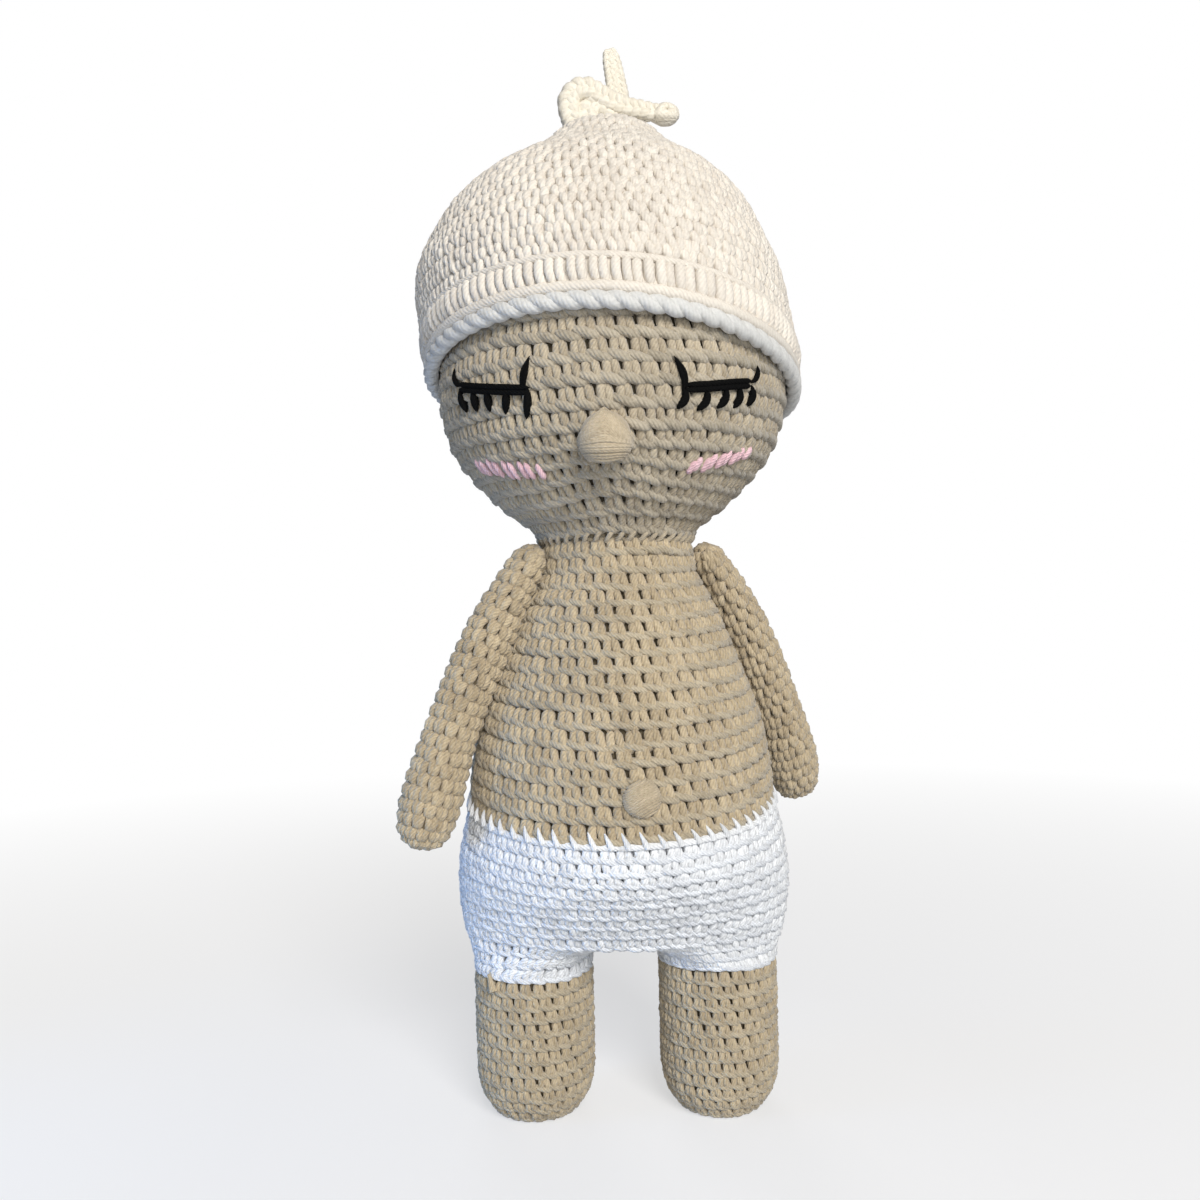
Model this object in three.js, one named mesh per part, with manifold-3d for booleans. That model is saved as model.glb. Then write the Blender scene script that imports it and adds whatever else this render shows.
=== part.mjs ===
// A crocheted doll standing upright: stuffed body, head, arms and legs, white pants and a
// loose hat with a tuft of three short cords on its peak.
// Millimetres, +Z up, face towards -Y. The doll's right side is on -X.
// The outer skins are open shells and each one holds its own fibre filling.
import * as THREE from "three";
import { mergeVertices } from "three/addons/utils/BufferGeometryUtils.js";
import Module from "manifold-3d";

const wasm = await Module();
wasm.setup();

// Fabric and clearances
const fabric = 2.2;
const gap = 0.3;
const overrun = 1;

// Legs, each a straight tube with a round foot that has a flat sole
const legRadius = 15.2;
const legLength = 38.7;
const legOffset = 24;
const footHeight = 16.2;
const soleDepth = 2;
const footPowerShare = 2.6;
const hipSwell = 2.8;

// Pants and torso, one stuffed form from the hems to the neck
const crotchRise = 7.9;
const pantsRise = 42.3;
const waistHalfWidth = 39;
const waistHalfDepth = 37;
const hipBulge = 3.5;
const torsoRise = 59;
const waistTilt = THREE.MathUtils.degToRad(8);
const hemDepthShare = 0.77;
const legOpenAngle = THREE.MathUtils.degToRad(130);
const torsoShares = [[0.1, 0.985], [0.34, 0.85], [0.58, 0.58], [0.81, 0.29], [0.93, 0.09]];

// Neck, a ball of filling that the head sits on
const neckBallRadius = 20.6;
const neckRise = 7.7;
const neckPlug = 14;
const neckYarnRadius = 0.6;

// Head, as shares of its radius measured from its centre
const headRadius = 44.5;
const headLift = 47;
const headShares = [
  [0.515, -0.79], [0.64, -0.7], [0.79, -0.55], [0.915, -0.39], [0.972, -0.22],
  [1, 0], [0.93, 0.37], [0.76, 0.65], [0.5, 0.866], [0.26, 0.966],
];
const faceTurn = THREE.MathUtils.degToRad(-3.3);

// Nose, a wound ball
const noseRadius = 6;
const noseDrop = 18;
const noseSink = 2.4;

// Eyes: a lid line, a line at the nose side, a curl at the outer side and lashes below
const eyeYarnRadius = 1.1;
const lashYarnRadius = 0.75;
const lidInnerAngle = THREE.MathUtils.degToRad(21);
const lidOuterAngle = THREE.MathUtils.degToRad(50);
const lidInnerDrop = 7.8;
const lidOuterDrop = 5.3;
const cornerRise = 6.5;
const curlRise = 3.6;
const lashLength = 4.3;
const lashPlaceShares = [0.02, 0.3, 0.56, 0.78, 0.98];
const lashShares = [[0, 0], [0.02, 0.5], [-0.03, 1]];
const cornerShares = [[0.03, 0], [0.05, 0.5], [0, 1]];
const curlShares = [[0.97, 0], [1.05, 0.4], [1.1, 1]];

// Cheeks, one strand laid up and down over a row of stitches
const cheekYarnRadius = 0.8;
const cheekInnerAngle = THREE.MathUtils.degToRad(31);
const cheekOuterAngle = THREE.MathUtils.degToRad(55);
const cheekInnerDrop = 24.2;
const cheekOuterDrop = 20.6;
const cheekHeight = 3.6;
const cheekStrands = 6;

// Hat, worn tilted back over the head, as shares of its radius and height. Its rim slopes further, up at the
// front and down on the doll's left, and its middle slouches to the doll's right.
const hatLooseness = 4;
const hatRadius = headRadius + hatLooseness;
const hatHeight = 76.5;
const hatDrop = -3.8;
const hatSlouch = 3.2;
const hatTilt = THREE.MathUtils.degToRad(-6);
const hatShares = [
  [0.99, 0.36], [0.925, 0.5], [0.834, 0.62], [0.7, 0.72], [0.53, 0.8], [0.395, 0.87],
  [0.31, 0.93], [0.2, 0.972],
];
const rimFrontSlope = Math.tan(THREE.MathUtils.degToRad(9.4));
const rimSideSlope = Math.tan(THREE.MathUtils.degToRad(4));
const rimBlend = 15;
const rimReachShare = 0.6;
const edgingHeight = 5.5;
const edgingWidth = 4.3;

// Tuft on the hat's peak: one cord with a fold at one end and a ball at the other, and a stem
const tuftRadius = 2.6;
const tuftOffset = 4.5;
const stemLength = 22.9;
const stemLean = 3;
const stemSink = 0.6;
const cordSink = 0.3;
const stemShares = [[0, 0], [-0.3, 0.5], [-1, 1]];
const foldReach = 13.5;
const foldHeight = 9.4;
const foldShares = [[-0.92, -0.39], [-1.06, 0.45], [-0.74, 0.83], [-0.23, 0.43], [0.1, 0.24]];
const toggleReach = 10.5;
const toggleShares = [[0.5, 1.45], [1, 1]];
const toggleBallRadius = 3.5;

// Arms, curved tubes that hang from the shoulder and taper up to it
const armLength = 80;
const armRadius = 8.3;
const armTopAngle = THREE.MathUtils.degToRad(33);
const armHandAngle = THREE.MathUtils.degToRad(13);
const armShares = [
  [0.5, 0.015], [0.6, 0.06], [0.68, 0.16], [0.74, 0.3], [0.83, 0.45], [0.88, 0.6],
  [0.98, 0.76], [1, 0.86], [0.86, 0.94], [0.55, 0.985],
];
const shoulderFlatShare = 0.62;
const shoulderFlatLength = 26;
const shoulderDrop = 3.5;
const shoulderAlong = 8;
const shoulderGap = 0.1;
const rightArmForward = THREE.MathUtils.degToRad(20);
const leftArmForward = THREE.MathUtils.degToRad(-5);
const leftArmBack = THREE.MathUtils.degToRad(-18);
const leftArmOut = THREE.MathUtils.degToRad(1);

// Belly button, a wound boss a little to the doll's left
const buttonRadius = 4.5;
const buttonHeight = 2.2;
const buttonOffset = 4;
const buttonHeightAboveWaist = 5.2;
const buttonShares = [[1, 0], [0.86, 0.6], [0.5, 0.92], [0, 1]];

// How finely the round forms are cut
const bodySideSteps = 11;
const bodyMiddleSteps = 4;
const headSteps = 24;
const hatSteps = 28;
const legSteps = 16;
const hipSteps = 24;
const armSteps = 12;
const outlineSteps = 10;
const curveSteps = 60;

// Heights that follow from the sizes above
const hipBallRadius = legRadius + hipSwell;
const hipHeight = legLength + Math.sqrt(hipBallRadius ** 2 - legRadius ** 2);
const crotchHeight = legLength + crotchRise;
const waistHeight = legLength + pantsRise;
const neckPivotHeight = waistHeight + torsoRise;
const seamHeight = neckPivotHeight + neckRise;
const headHeight = neckPivotHeight + headLift;
const inset = fabric + gap;

const colours = {
  beige: "#cdbc9b", grey: "#bcaf98", white: "#e9ecf1", ivory: "#e9e0cf", cream: "#eee4ca",
  black: "#141313", pink: "#dfb2ba", fibre: "#f3f1ec",
};

function material(colour) {
  return new THREE.MeshStandardMaterial({ color: colour, roughness: 0.95, metalness: 0 });
}

// A closed geometry as a solid that can be joined and cut
function solidOf(geometry) {
  const bare = geometry.clone();
  bare.deleteAttribute("normal");
  bare.deleteAttribute("uv");
  const merged = mergeVertices(bare);
  const corners = merged.index.array;
  const faces = [];
  for (let i = 0; i < corners.length; i += 3) {
    const [a, b, c] = [corners[i], corners[i + 1], corners[i + 2]];
    if (a !== b && b !== c && c !== a) faces.push(a, b, c);
  }
  const vertProperties = new Float32Array(merged.attributes.position.array);
  return new wasm.Manifold(
    new wasm.Mesh({ numProp: 3, vertProperties, triVerts: new Uint32Array(faces) }),
  );
}

function geometryOf(solid) {
  const mesh = solid.getMesh();
  const places = new Float32Array(mesh.numVert * 3);
  for (let i = 0; i < mesh.numVert; i++) {
    places.set(mesh.vertProperties.subarray(i * mesh.numProp, i * mesh.numProp + 3), i * 3);
  }
  const geometry = new THREE.BufferGeometry();
  geometry.setAttribute("position", new THREE.BufferAttribute(places, 3));
  geometry.setIndex(new THREE.BufferAttribute(new Uint32Array(mesh.triVerts), 1));
  geometry.computeVertexNormals();
  return geometry;
}

function namedMesh(name, geometry, colour) {
  const mesh = new THREE.Mesh(geometry, material(colour));
  mesh.name = name;
  return mesh;
}

// A profile of (radius, height) points, ordered so that its faces look out, turned about Z
function turned(profile, steps) {
  return new THREE.LatheGeometry(profile, steps).rotateX(Math.PI / 2);
}

// Moves each point of a geometry to where place(point) says
function shaped(geometry, place) {
  const places = geometry.attributes.position;
  const point = new THREE.Vector3();
  for (let i = 0; i < places.count; i++) {
    place(point.fromBufferAttribute(places, i));
    places.setXYZ(i, point.x, point.y, point.z);
  }
  geometry.computeVertexNormals();
  return geometry;
}

// An outline from low to high moved inwards, square to itself; a point on the axis stays on it
function insetOutline(outline, distance) {
  return outline.map((point, i) => {
    const before = outline[Math.max(i - 1, 0)];
    const after = outline[Math.min(i + 1, outline.length - 1)];
    const along = after.clone().sub(before).normalize();
    const across = point.x === 0 ? 0 : Math.max(point.x - along.y * distance, 0);
    return new THREE.Vector2(across, point.y + along.x * distance);
  });
}

// The profile of an open skin whose outline has one end on the axis and one at its opening
function skinProfile(outline, thickness) {
  const inner = insetOutline(outline, thickness).reverse();
  return outline[0].x === 0 ? [...outline, ...inner] : [...inner, ...outline];
}

// An arc of a ball about a centre on the axis, from one angle to another off straight up
function ballArc(centre, radius, from, to, steps) {
  return Array.from({ length: steps + 1 }, (_, i) => {
    const angle = from + ((to - from) * i) / steps;
    const across = Math.abs(Math.sin(angle)) < 1e-9 ? 0 : radius * Math.sin(angle);
    return new THREE.Vector2(across, centre + radius * Math.cos(angle));
  });
}

// A round cord with flat ends along a list of points
function cordAlong(points, radius, sides, steps) {
  const ring = Array.from({ length: sides }, (_, i) => {
    const angle = (2 * Math.PI * i) / sides;
    return new THREE.Vector2(radius * Math.cos(angle), radius * Math.sin(angle));
  });
  const path = new THREE.CatmullRomCurve3(points);
  return new THREE.ExtrudeGeometry(new THREE.Shape(ring), { steps, extrudePath: path });
}

// The trunk's half width and half depth at a height
function pantsShare(height) {
  return (height - legLength) / pantsRise;
}

const torsoOutline = new THREE.SplineCurve([
  new THREE.Vector2(waistHalfWidth, waistHeight),
  ...torsoShares.map(([rise, swell]) => new THREE.Vector2(
    neckBallRadius - gap + (waistHalfWidth - neckBallRadius + gap) * swell,
    waistHeight + torsoRise * rise,
  )),
  new THREE.Vector2(neckBallRadius - gap, neckPivotHeight),
]).getPoints(curveSteps);

function torsoHalfWidth(height) {
  if (height >= neckPivotHeight) {
    const reach = neckBallRadius - gap;
    return Math.sqrt(Math.max(reach ** 2 - (height - neckPivotHeight) ** 2, 0));
  }
  const above = torsoOutline.findIndex((point) => point.y > height);
  const [low, high] = [torsoOutline[above - 1], torsoOutline[above]];
  return THREE.MathUtils.mapLinear(height, low.y, high.y, low.x, high.x);
}

function trunkHalfWidth(height) {
  if (height > waistHeight) return torsoHalfWidth(height);
  const share = pantsShare(height);
  const straight = THREE.MathUtils.lerp(legOffset + legRadius, waistHalfWidth, share);
  return straight + hipBulge * Math.sin(Math.PI * share);
}

function trunkHalfDepth(height) {
  if (height > waistHeight) {
    const share = Math.min((height - waistHeight) / torsoRise, 1);
    return torsoHalfWidth(height) * THREE.MathUtils.lerp(waistHalfDepth / waistHalfWidth, 1, share);
  }
  const reach = legOffset / (legOffset + legRadius);
  const hemDepth = legRadius / Math.sqrt(1 - reach ** 2);
  return THREE.MathUtils.lerp(
    hemDepth, waistHalfDepth, THREE.MathUtils.smoothstep(pantsShare(height), 0, hemDepthShare),
  );
}

// One half ring of the trunk at a height, on the doll's left: first round the side from the front
// to the back, then back along the middle, or round the inside of the leg below the crotch
function halfRing(height, depthIn, capped) {
  const crotch = crotchHeight + depthIn;
  const fork = THREE.MathUtils.clamp((height - legLength) / (crotch - legLength), 0, 1);
  const leg = Math.sqrt(1 - fork ** 2);
  const round = capped ? Math.sqrt(Math.max(hipBallRadius ** 2 - (hipHeight - height) ** 2, 0)) : legRadius;
  const tube = height < legLength ? Math.min(legRadius - depthIn, round) : legRadius - depthIn;
  const at = Math.max(height, legLength);
  const halfWidth = trunkHalfWidth(at) - depthIn;
  const halfDepth = trunkHalfDepth(at) - depthIn;
  const ring = [];
  for (let i = 0; i < bodySideSteps; i++) {
    const share = (2 * i) / bodySideSteps - 1;
    const angle = share * legOpenAngle;
    const side = (share * Math.PI) / 2;
    const across = legOffset + tube * Math.cos(angle);
    const bodyAcross = i === 0 ? 0 : halfWidth * Math.cos(side);
    ring.push(new THREE.Vector3(
      THREE.MathUtils.lerp(bodyAcross, across, leg),
      THREE.MathUtils.lerp(halfDepth * Math.sin(side), tube * Math.sin(angle), leg),
      height,
    ));
  }
  for (let i = 0; i < bodyMiddleSteps; i++) {
    const share = i / bodyMiddleSteps;
    const angle = legOpenAngle + share * 2 * (Math.PI - legOpenAngle);
    const across = legOffset + tube * Math.cos(angle);
    ring.push(new THREE.Vector3(
      across * leg,
      THREE.MathUtils.lerp(halfDepth * (1 - 2 * share), tube * Math.sin(angle), leg),
      height,
    ));
  }
  return ring;
}

// The trunk from the hips' round ends to the neck, moved in by a depth all round. Its two halves
// meet at the middle above the crotch, where they have no faces.
function trunkForm(depthIn, heights, capped) {
  const rings = heights.map((height) => halfRing(height, depthIn, capped));
  const places = [];
  const faces = [];
  const size = rings[0].length;
  for (const side of [1, -1]) {
    const start = places.length / 3;
    rings.flat().forEach((point) => places.push(side * point.x, point.y, point.z));
    const first = places.length / 3;
    places.push(side * legOffset, 0, heights[0]);
    const top = places.length / 3;
    places.push(0, 0, heights[heights.length - 1]);
    const add = (a, b, c) => {
      const middle = [a, b, c].every((corner) => places[corner * 3] === 0);
      if (!middle) faces.push(...(side > 0 ? [a, b, c] : [a, c, b]));
    };
    for (let j = 0; j < size; j++) {
      const next = (j + 1) % size;
      add(first, start + next, start + j);
      const last = start + (rings.length - 1) * size;
      add(top, last + j, last + next);
      for (let i = 0; i + 1 < rings.length; i++) {
        const [low, high] = [start + i * size, start + (i + 1) * size];
        add(low + j, low + next, high + next);
        add(low + j, high + next, high + j);
      }
    }
  }
  const geometry = new THREE.BufferGeometry();
  geometry.setAttribute("position", new THREE.Float32BufferAttribute(places, 3));
  geometry.setIndex(faces);
  return solidOf(geometry);
}

// Heights at which the trunk's rings lie, from a low end to a high end
function trunkHeights(low, high, depthIn) {
  const capShares = [0.12, 0.5];
  const forkShares = [0, 0.45, 0.85, 1];
  const pantsShares = [0.12, 0.3, 0.5, 0.75, 1];
  const torsoRiseShares = [0.17, 0.34, 0.5, 0.66, 0.82, 0.93, 1];
  const crotch = crotchHeight + depthIn;
  const between = (from, to, shares) => shares.map((share) => THREE.MathUtils.lerp(from, to, share));
  const all = [
    ...between(hipHeight - hipBallRadius, legLength, capShares),
    ...between(legLength, crotch, forkShares),
    ...between(crotch, waistHeight, pantsShares),
    ...between(waistHeight, neckPivotHeight, torsoRiseShares),
    (neckPivotHeight + seamHeight) / 2,
  ];
  return [low, ...all.filter((height) => height > low && height < high), high];
}

// A faceted ball whose flat faces lie outside a radius
function ballOver(radius, height, steps) {
  const reach = radius / Math.cos(Math.PI / steps) ** 2;
  const geometry = new THREE.SphereGeometry(reach, steps, steps / 2).rotateX(Math.PI / 2);
  return solidOf(geometry.translate(0, 0, height));
}

// A box below the waist line, whose tilted top face is moved up by a distance
function belowWaist(up) {
  const side = 4 * (waistHalfWidth + hipBulge);
  const height = 2 * seamHeight;
  const box = new THREE.BoxGeometry(side, side, height).translate(0, 0, up - height / 2);
  return solidOf(box.rotateX(waistTilt).translate(0, 0, waistHeight));
}

function addTrunk(doll) {
  const low = hipHeight - hipBallRadius;
  const outer = trunkForm(0, trunkHeights(low, seamHeight, 0), true);
  const hollowHeights = trunkHeights(low - overrun, seamHeight + overrun, fabric);
  const shell = outer.subtract(trunkForm(fabric, hollowHeights, false));
  const torso = shell.subtract(belowWaist(gap / 2));
  const pants = shell.intersect(belowWaist(-gap / 2));
  const fillingTop = neckPivotHeight - neckPlug - gap;
  const filling = trunkForm(inset, trunkHeights(low, fillingTop, inset), true);
  doll.add(namedMesh("torso_skin", geometryOf(torso), colours.beige));
  doll.add(namedMesh("pants_skin", geometryOf(pants), colours.white));
  doll.add(namedMesh("body_filling", geometryOf(filling), colours.fibre));
}

// A low boss with a flat back, on the front of the torso
function addBellyButton(doll) {
  const height = waistHeight + buttonHeightAboveWaist;
  const across = buttonOffset / trunkHalfWidth(height);
  const depth = trunkHalfDepth(height) * Math.sqrt(1 - across ** 2);
  const slope = Math.atan2(buttonOffset, depth);
  const profile = new THREE.SplineCurve(buttonShares.map(
    ([across, out]) => new THREE.Vector2(buttonRadius * across, buttonHeight * out),
  )).getPoints(buttonShares.length);
  const boss = turned([new THREE.Vector2(0, 0), ...profile], legSteps);
  const button = namedMesh("belly_button", geometryOf(solidOf(boss)), colours.beige);
  button.rotation.set(Math.PI / 2, slope, 0);
  button.position.set(buttonOffset, -depth, height);
  doll.add(button);
}

// A mushroom of filling: its plug turns in the torso's opening, and the head nods over its cap
function addNeck(doll) {
  const plugRadius = neckBallRadius - fabric - 3 * gap;
  const capHeight = seamHeight + gap - neckPivotHeight;
  const plugAngle = Math.acos(capHeight / plugRadius);
  const capAngle = Math.acos(capHeight / neckBallRadius);
  const profile = [
    new THREE.Vector2(0, neckPivotHeight - neckPlug),
    new THREE.Vector2(plugRadius, neckPivotHeight - neckPlug),
    ...ballArc(neckPivotHeight, plugRadius, Math.PI / 2, plugAngle, 2),
    ...ballArc(neckPivotHeight, neckBallRadius, capAngle, 0, 4),
  ];
  const neck = geometryOf(solidOf(turned(profile, headSteps)));
  doll.add(namedMesh("neck_filling", neck, colours.fibre));
}

// The head's outline from its opening at the neck to its top
function headOutline() {
  const reach = neckBallRadius + gap;
  const rim = new THREE.Vector2(
    Math.sqrt(reach ** 2 - (seamHeight + gap - neckPivotHeight) ** 2), seamHeight + gap,
  );
  const points = headShares.map(([across, up]) => new THREE.Vector2(
    headRadius * across, headHeight + headRadius * up,
  ));
  const top = new THREE.Vector2(0, headHeight + headRadius);
  const outline = new THREE.SplineCurve([rim, ...points, top]).getPoints(outlineSteps + 1);
  outline[outline.length - 1].x = 0;
  return outline;
}

const headLine = headOutline();

// A point over the head's surface: turned from the face's middle, below the head's centre, and
// lifted square to the surface
function onHead(angle, drop, lift) {
  const height = headHeight - drop;
  const above = headLine.findIndex((point) => point.y > height);
  const [low, high] = [headLine[above - 1], headLine[above]];
  const along = high.clone().sub(low).normalize();
  const radius = THREE.MathUtils.mapLinear(height, low.y, high.y, low.x, high.x) + lift * along.y;
  const turn = angle + faceTurn;
  return new THREE.Vector3(
    radius * Math.sin(turn), -radius * Math.cos(turn), height - lift * along.x,
  );
}

function addHead(doll) {
  const neckBall = ballOver(neckBallRadius + gap, neckPivotHeight, headSteps);
  const skin = solidOf(turned(skinProfile(headLine, fabric), headSteps)).subtract(neckBall);
  const inner = insetOutline(headLine, inset);
  const bottom = new THREE.Vector2(0, inner[0].y);
  const filling = solidOf(turned([bottom, ...inner], headSteps)).subtract(neckBall);
  doll.add(namedMesh("head_skin", geometryOf(skin), colours.grey));
  doll.add(namedMesh("head_filling", geometryOf(filling), colours.fibre));
}

// The yarn that sews the head on, a ring in the groove below the head
function addNeckSeam(doll) {
  const reach = neckBallRadius + gap + neckYarnRadius;
  const angle = Math.acos((neckRise - gap) / reach);
  const ring = ballArc(0, neckYarnRadius, 0, 2 * Math.PI, 6).reverse();
  const profile = ring.map((point) => new THREE.Vector2(
    reach * Math.sin(angle) + point.x, neckPivotHeight + reach * Math.cos(angle) + point.y,
  ));
  doll.add(namedMesh("neck_seam", geometryOf(solidOf(turned(profile, headSteps))), colours.grey));
}

// A ball of wound yarn, flattened where it lies on the face
function addNose(doll) {
  const centre = onHead(0, noseDrop, noseRadius - noseSink);
  const round = new THREE.SphereGeometry(noseRadius, 12, 9).translate(...centre);
  const face = solidOf(turned([
    new THREE.Vector2(0, seamHeight), ...insetOutline(headLine, -gap),
  ], headSteps));
  doll.add(namedMesh("nose", geometryOf(solidOf(round).subtract(face)), colours.beige));
}

// One eye as one solid; side is 1 on the doll's left and -1 on its right
function eyeSolid(side) {
  const lidLift = eyeYarnRadius + gap;
  const lashLift = lashYarnRadius + gap;
  const lidAt = (share, up, lift) => onHead(
    side * THREE.MathUtils.lerp(lidInnerAngle, lidOuterAngle, share),
    THREE.MathUtils.lerp(lidInnerDrop, lidOuterDrop, share) - up,
    lift,
  );
  const lid = [0, 0.25, 0.5, 0.75, 1].map((share) => lidAt(share, 0, lidLift));
  const corner = cornerShares.map(
    ([share, up]) => lidAt(share, cornerRise * up, lidLift),
  );
  const curl = curlShares.map(
    ([share, up]) => lidAt(share, curlRise * up, lashLift),
  );
  const lashes = lashPlaceShares.map((place) => lashShares.map(
    ([share, down]) => lidAt(place + share, -lashLength * down, lashLift),
  ));
  const strands = [
    cordAlong(lid, eyeYarnRadius, 6, 5), cordAlong(corner, eyeYarnRadius, 5, 2),
    cordAlong(curl, lashYarnRadius, 5, 2),
    ...lashes.map((lash) => cordAlong(lash, lashYarnRadius, 5, 2)),
  ];
  return strands.map(solidOf).reduce((joined, strand) => joined.add(strand));
}

function cheekSolid(side) {
  const points = Array.from({ length: cheekStrands + 1 }, (_, i) => {
    const share = i / cheekStrands;
    const up = i % 2 ? cheekHeight / 2 : -cheekHeight / 2;
    return onHead(
      side * THREE.MathUtils.lerp(cheekInnerAngle, cheekOuterAngle, share),
      THREE.MathUtils.lerp(cheekInnerDrop, cheekOuterDrop, share) - up,
      cheekYarnRadius + gap,
    );
  });
  return solidOf(cordAlong(points, cheekYarnRadius, 5, cheekStrands * 3));
}

function addFace(doll) {
  for (const [name, side] of [["left", 1], ["right", -1]]) {
    doll.add(namedMesh(`${name}_eye_stitches`, geometryOf(eyeSolid(side)), colours.black));
    doll.add(namedMesh(`${name}_cheek_stitches`, geometryOf(cheekSolid(side)), colours.pink));
  }
}

// Bends the hat from its round form: the rim's slope fades out towards the peak, and the slouch
// is greatest at half height
function bendHat(point) {
  const up = (point.z - hatDrop) / hatHeight;
  const weight = 1 - THREE.MathUtils.smoothstep(up / rimReachShare, 0, 1);
  const front = (Math.hypot(point.y, rimBlend) - point.y) / 2;
  point.z += weight * (front * rimFrontSlope - point.x * rimSideSlope);
  point.x -= hatSlouch * Math.sin(Math.PI * THREE.MathUtils.clamp(up, 0, 1)) ** 2;
}

// The hat's own frame has its origin at the head's centre and its axis tilted back
function addHat(doll) {
  const hat = new THREE.Group();
  hat.position.z = headHeight;
  hat.rotation.x = hatTilt;
  const peak = hatDrop + hatHeight;
  const outline = new THREE.SplineCurve([
    new THREE.Vector2(hatRadius, hatDrop + edgingHeight + gap),
    ...hatShares.map(([across, up]) => new THREE.Vector2(hatRadius * across, hatDrop + hatHeight * up)),
    new THREE.Vector2(0, peak),
  ]).getPoints(outlineSteps + 2);
  outline[outline.length - 1].x = 0;
  const crown = solidMesh(turned(skinProfile(outline, fabric), hatSteps));
  hat.add(namedMesh("hat_crown", shaped(crown, bendHat), colours.ivory));
  hat.add(namedMesh("hat_edging", shaped(edgingGeometry(), bendHat), colours.white));
  const tuft = new THREE.Group();
  tuft.position.set(tuftOffset, 0, peak);
  tuft.rotation.x = -hatTilt;
  addTuft(tuft);
  hat.add(tuft);
  doll.add(hat);
}

// The thick edging, whose flat inner sides clear the head
function edgingGeometry() {
  const innerRadius = (headRadius + gap) / Math.cos(Math.PI / hatSteps);
  const oval = ballArc(0, 1, 0, 2 * Math.PI, 6).reverse();
  return solidMesh(turned(oval.map((point) => new THREE.Vector2(
    innerRadius + (edgingWidth / 2) * (1 + point.x), hatDrop + (edgingHeight / 2) * (1 + point.y),
  )), hatSteps));
}

// Two short cords: one folded over with a ball on its other end, and an upright stem behind it
function addTuft(tuft) {
  const front = -tuftRadius / 2;
  const fold = foldShares.map(([across, up]) => new THREE.Vector3(
    foldReach * across, front, tuftRadius - cordSink + foldHeight * up,
  ));
  const toggle = toggleShares.map(([across, up]) => new THREE.Vector3(
    toggleReach * across, front, gap - cordSink + tuftRadius * up,
  ));
  const cord = solidOf(cordAlong([...fold, ...toggle], tuftRadius, 7, 15));
  const end = new THREE.SphereGeometry(toggleBallRadius, 10, 7);
  end.translate(toggleReach + toggleBallRadius / 2, front, gap - cordSink + tuftRadius);
  tuft.add(namedMesh("hat_cord", geometryOf(cord.add(solidOf(end))), colours.cream));
  const stem = stemShares.map(([lean, up]) => new THREE.Vector3(
    stemLean * lean, front + 2 * tuftRadius + gap, gap - stemSink + stemLength * up,
  ));
  tuft.add(namedMesh("hat_stem", solidMesh(cordAlong(stem, tuftRadius, 8, 4)), colours.cream));
}

function solidMesh(geometry) {
  return geometryOf(solidOf(geometry));
}

// The foot's outline from the middle of the sole up to the opening at the hem
function legOutline() {
  const points = [new THREE.Vector2(0, 0)];
  const rises = [0, 0.1, 0.25, 0.45, 0.7, 1];
  for (const share of rises) {
    const height = THREE.MathUtils.lerp(soleDepth, footHeight, share);
    const drop = 1 - height / footHeight;
    const across = (1 - drop ** footPowerShare) ** (1 / footPowerShare);
    points.push(new THREE.Vector2(legRadius * across, height - soleDepth));
  }
  points.push(new THREE.Vector2(legRadius, (footHeight + legLength) / 2));
  points.push(new THREE.Vector2(legRadius, legLength));
  return points;
}

function addLeg(doll, name, side) {
  const outline = legOutline();
  const hip = ballOver(hipBallRadius + gap, hipHeight, hipSteps);
  const skin = solidOf(turned(skinProfile(outline, fabric), legSteps)).subtract(hip);
  const inner = insetOutline(outline, inset);
  const top = new THREE.Vector2(0, legLength);
  const filling = solidOf(turned([...inner, top], legSteps)).subtract(hip);
  const leg = new THREE.Group();
  leg.position.x = side * legOffset;
  leg.add(namedMesh(`${name}_leg_skin`, geometryOf(skin), colours.beige));
  leg.add(namedMesh(`${name}_leg_filling`, geometryOf(filling), colours.fibre));
  doll.add(leg);
}

// How far the arm is flattened at a distance from its top
function armFlatness(along) {
  return THREE.MathUtils.lerp(
    shoulderFlatShare, 1, THREE.MathUtils.smoothstep(along, 0, shoulderFlatLength),
  );
}

// The arm's middle line bends evenly from its top angle to its hand angle
const armBend = (armTopAngle - armHandAngle) / armLength;

function armMiddle(along) {
  const angle = armTopAngle - armBend * along;
  return {
    angle,
    across: (Math.cos(angle) - Math.cos(armTopAngle)) / armBend,
    up: (Math.sin(angle) - Math.sin(armTopAngle)) / armBend,
  };
}

const armOutline = new THREE.SplineCurve([
  ...armShares.map(([across, along]) => new THREE.Vector2(armRadius * across, armLength * along)),
  new THREE.Vector2(0, armLength),
]).getPoints(outlineSteps);
armOutline[armOutline.length - 1].x = 0;

// Where the arm's top lies, so that its inner side just clears the torso all the way down
const armTopHeight = seamHeight - shoulderDrop;
const armTopAcross = Math.max(...armOutline.map((point) => {
  const middle = armMiddle(point.y);
  const thick = point.x * armFlatness(point.y);
  const innerHeight = armTopHeight + middle.up - thick * Math.sin(middle.angle);
  const innerAcross = middle.across - thick * Math.cos(middle.angle);
  return trunkHalfWidth(innerHeight) + shoulderGap - innerAcross;
}));

// A point in the arm's own round form, given across, front to back and along its middle line
function placeOnArm(point, side) {
  const middle = armMiddle(point.z);
  const out = point.x * armFlatness(point.z);
  point.set(
    side * (armTopAcross + middle.across + out * Math.cos(middle.angle)),
    -side * point.y,
    armTopHeight + middle.up + out * Math.sin(middle.angle),
  );
}

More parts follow.
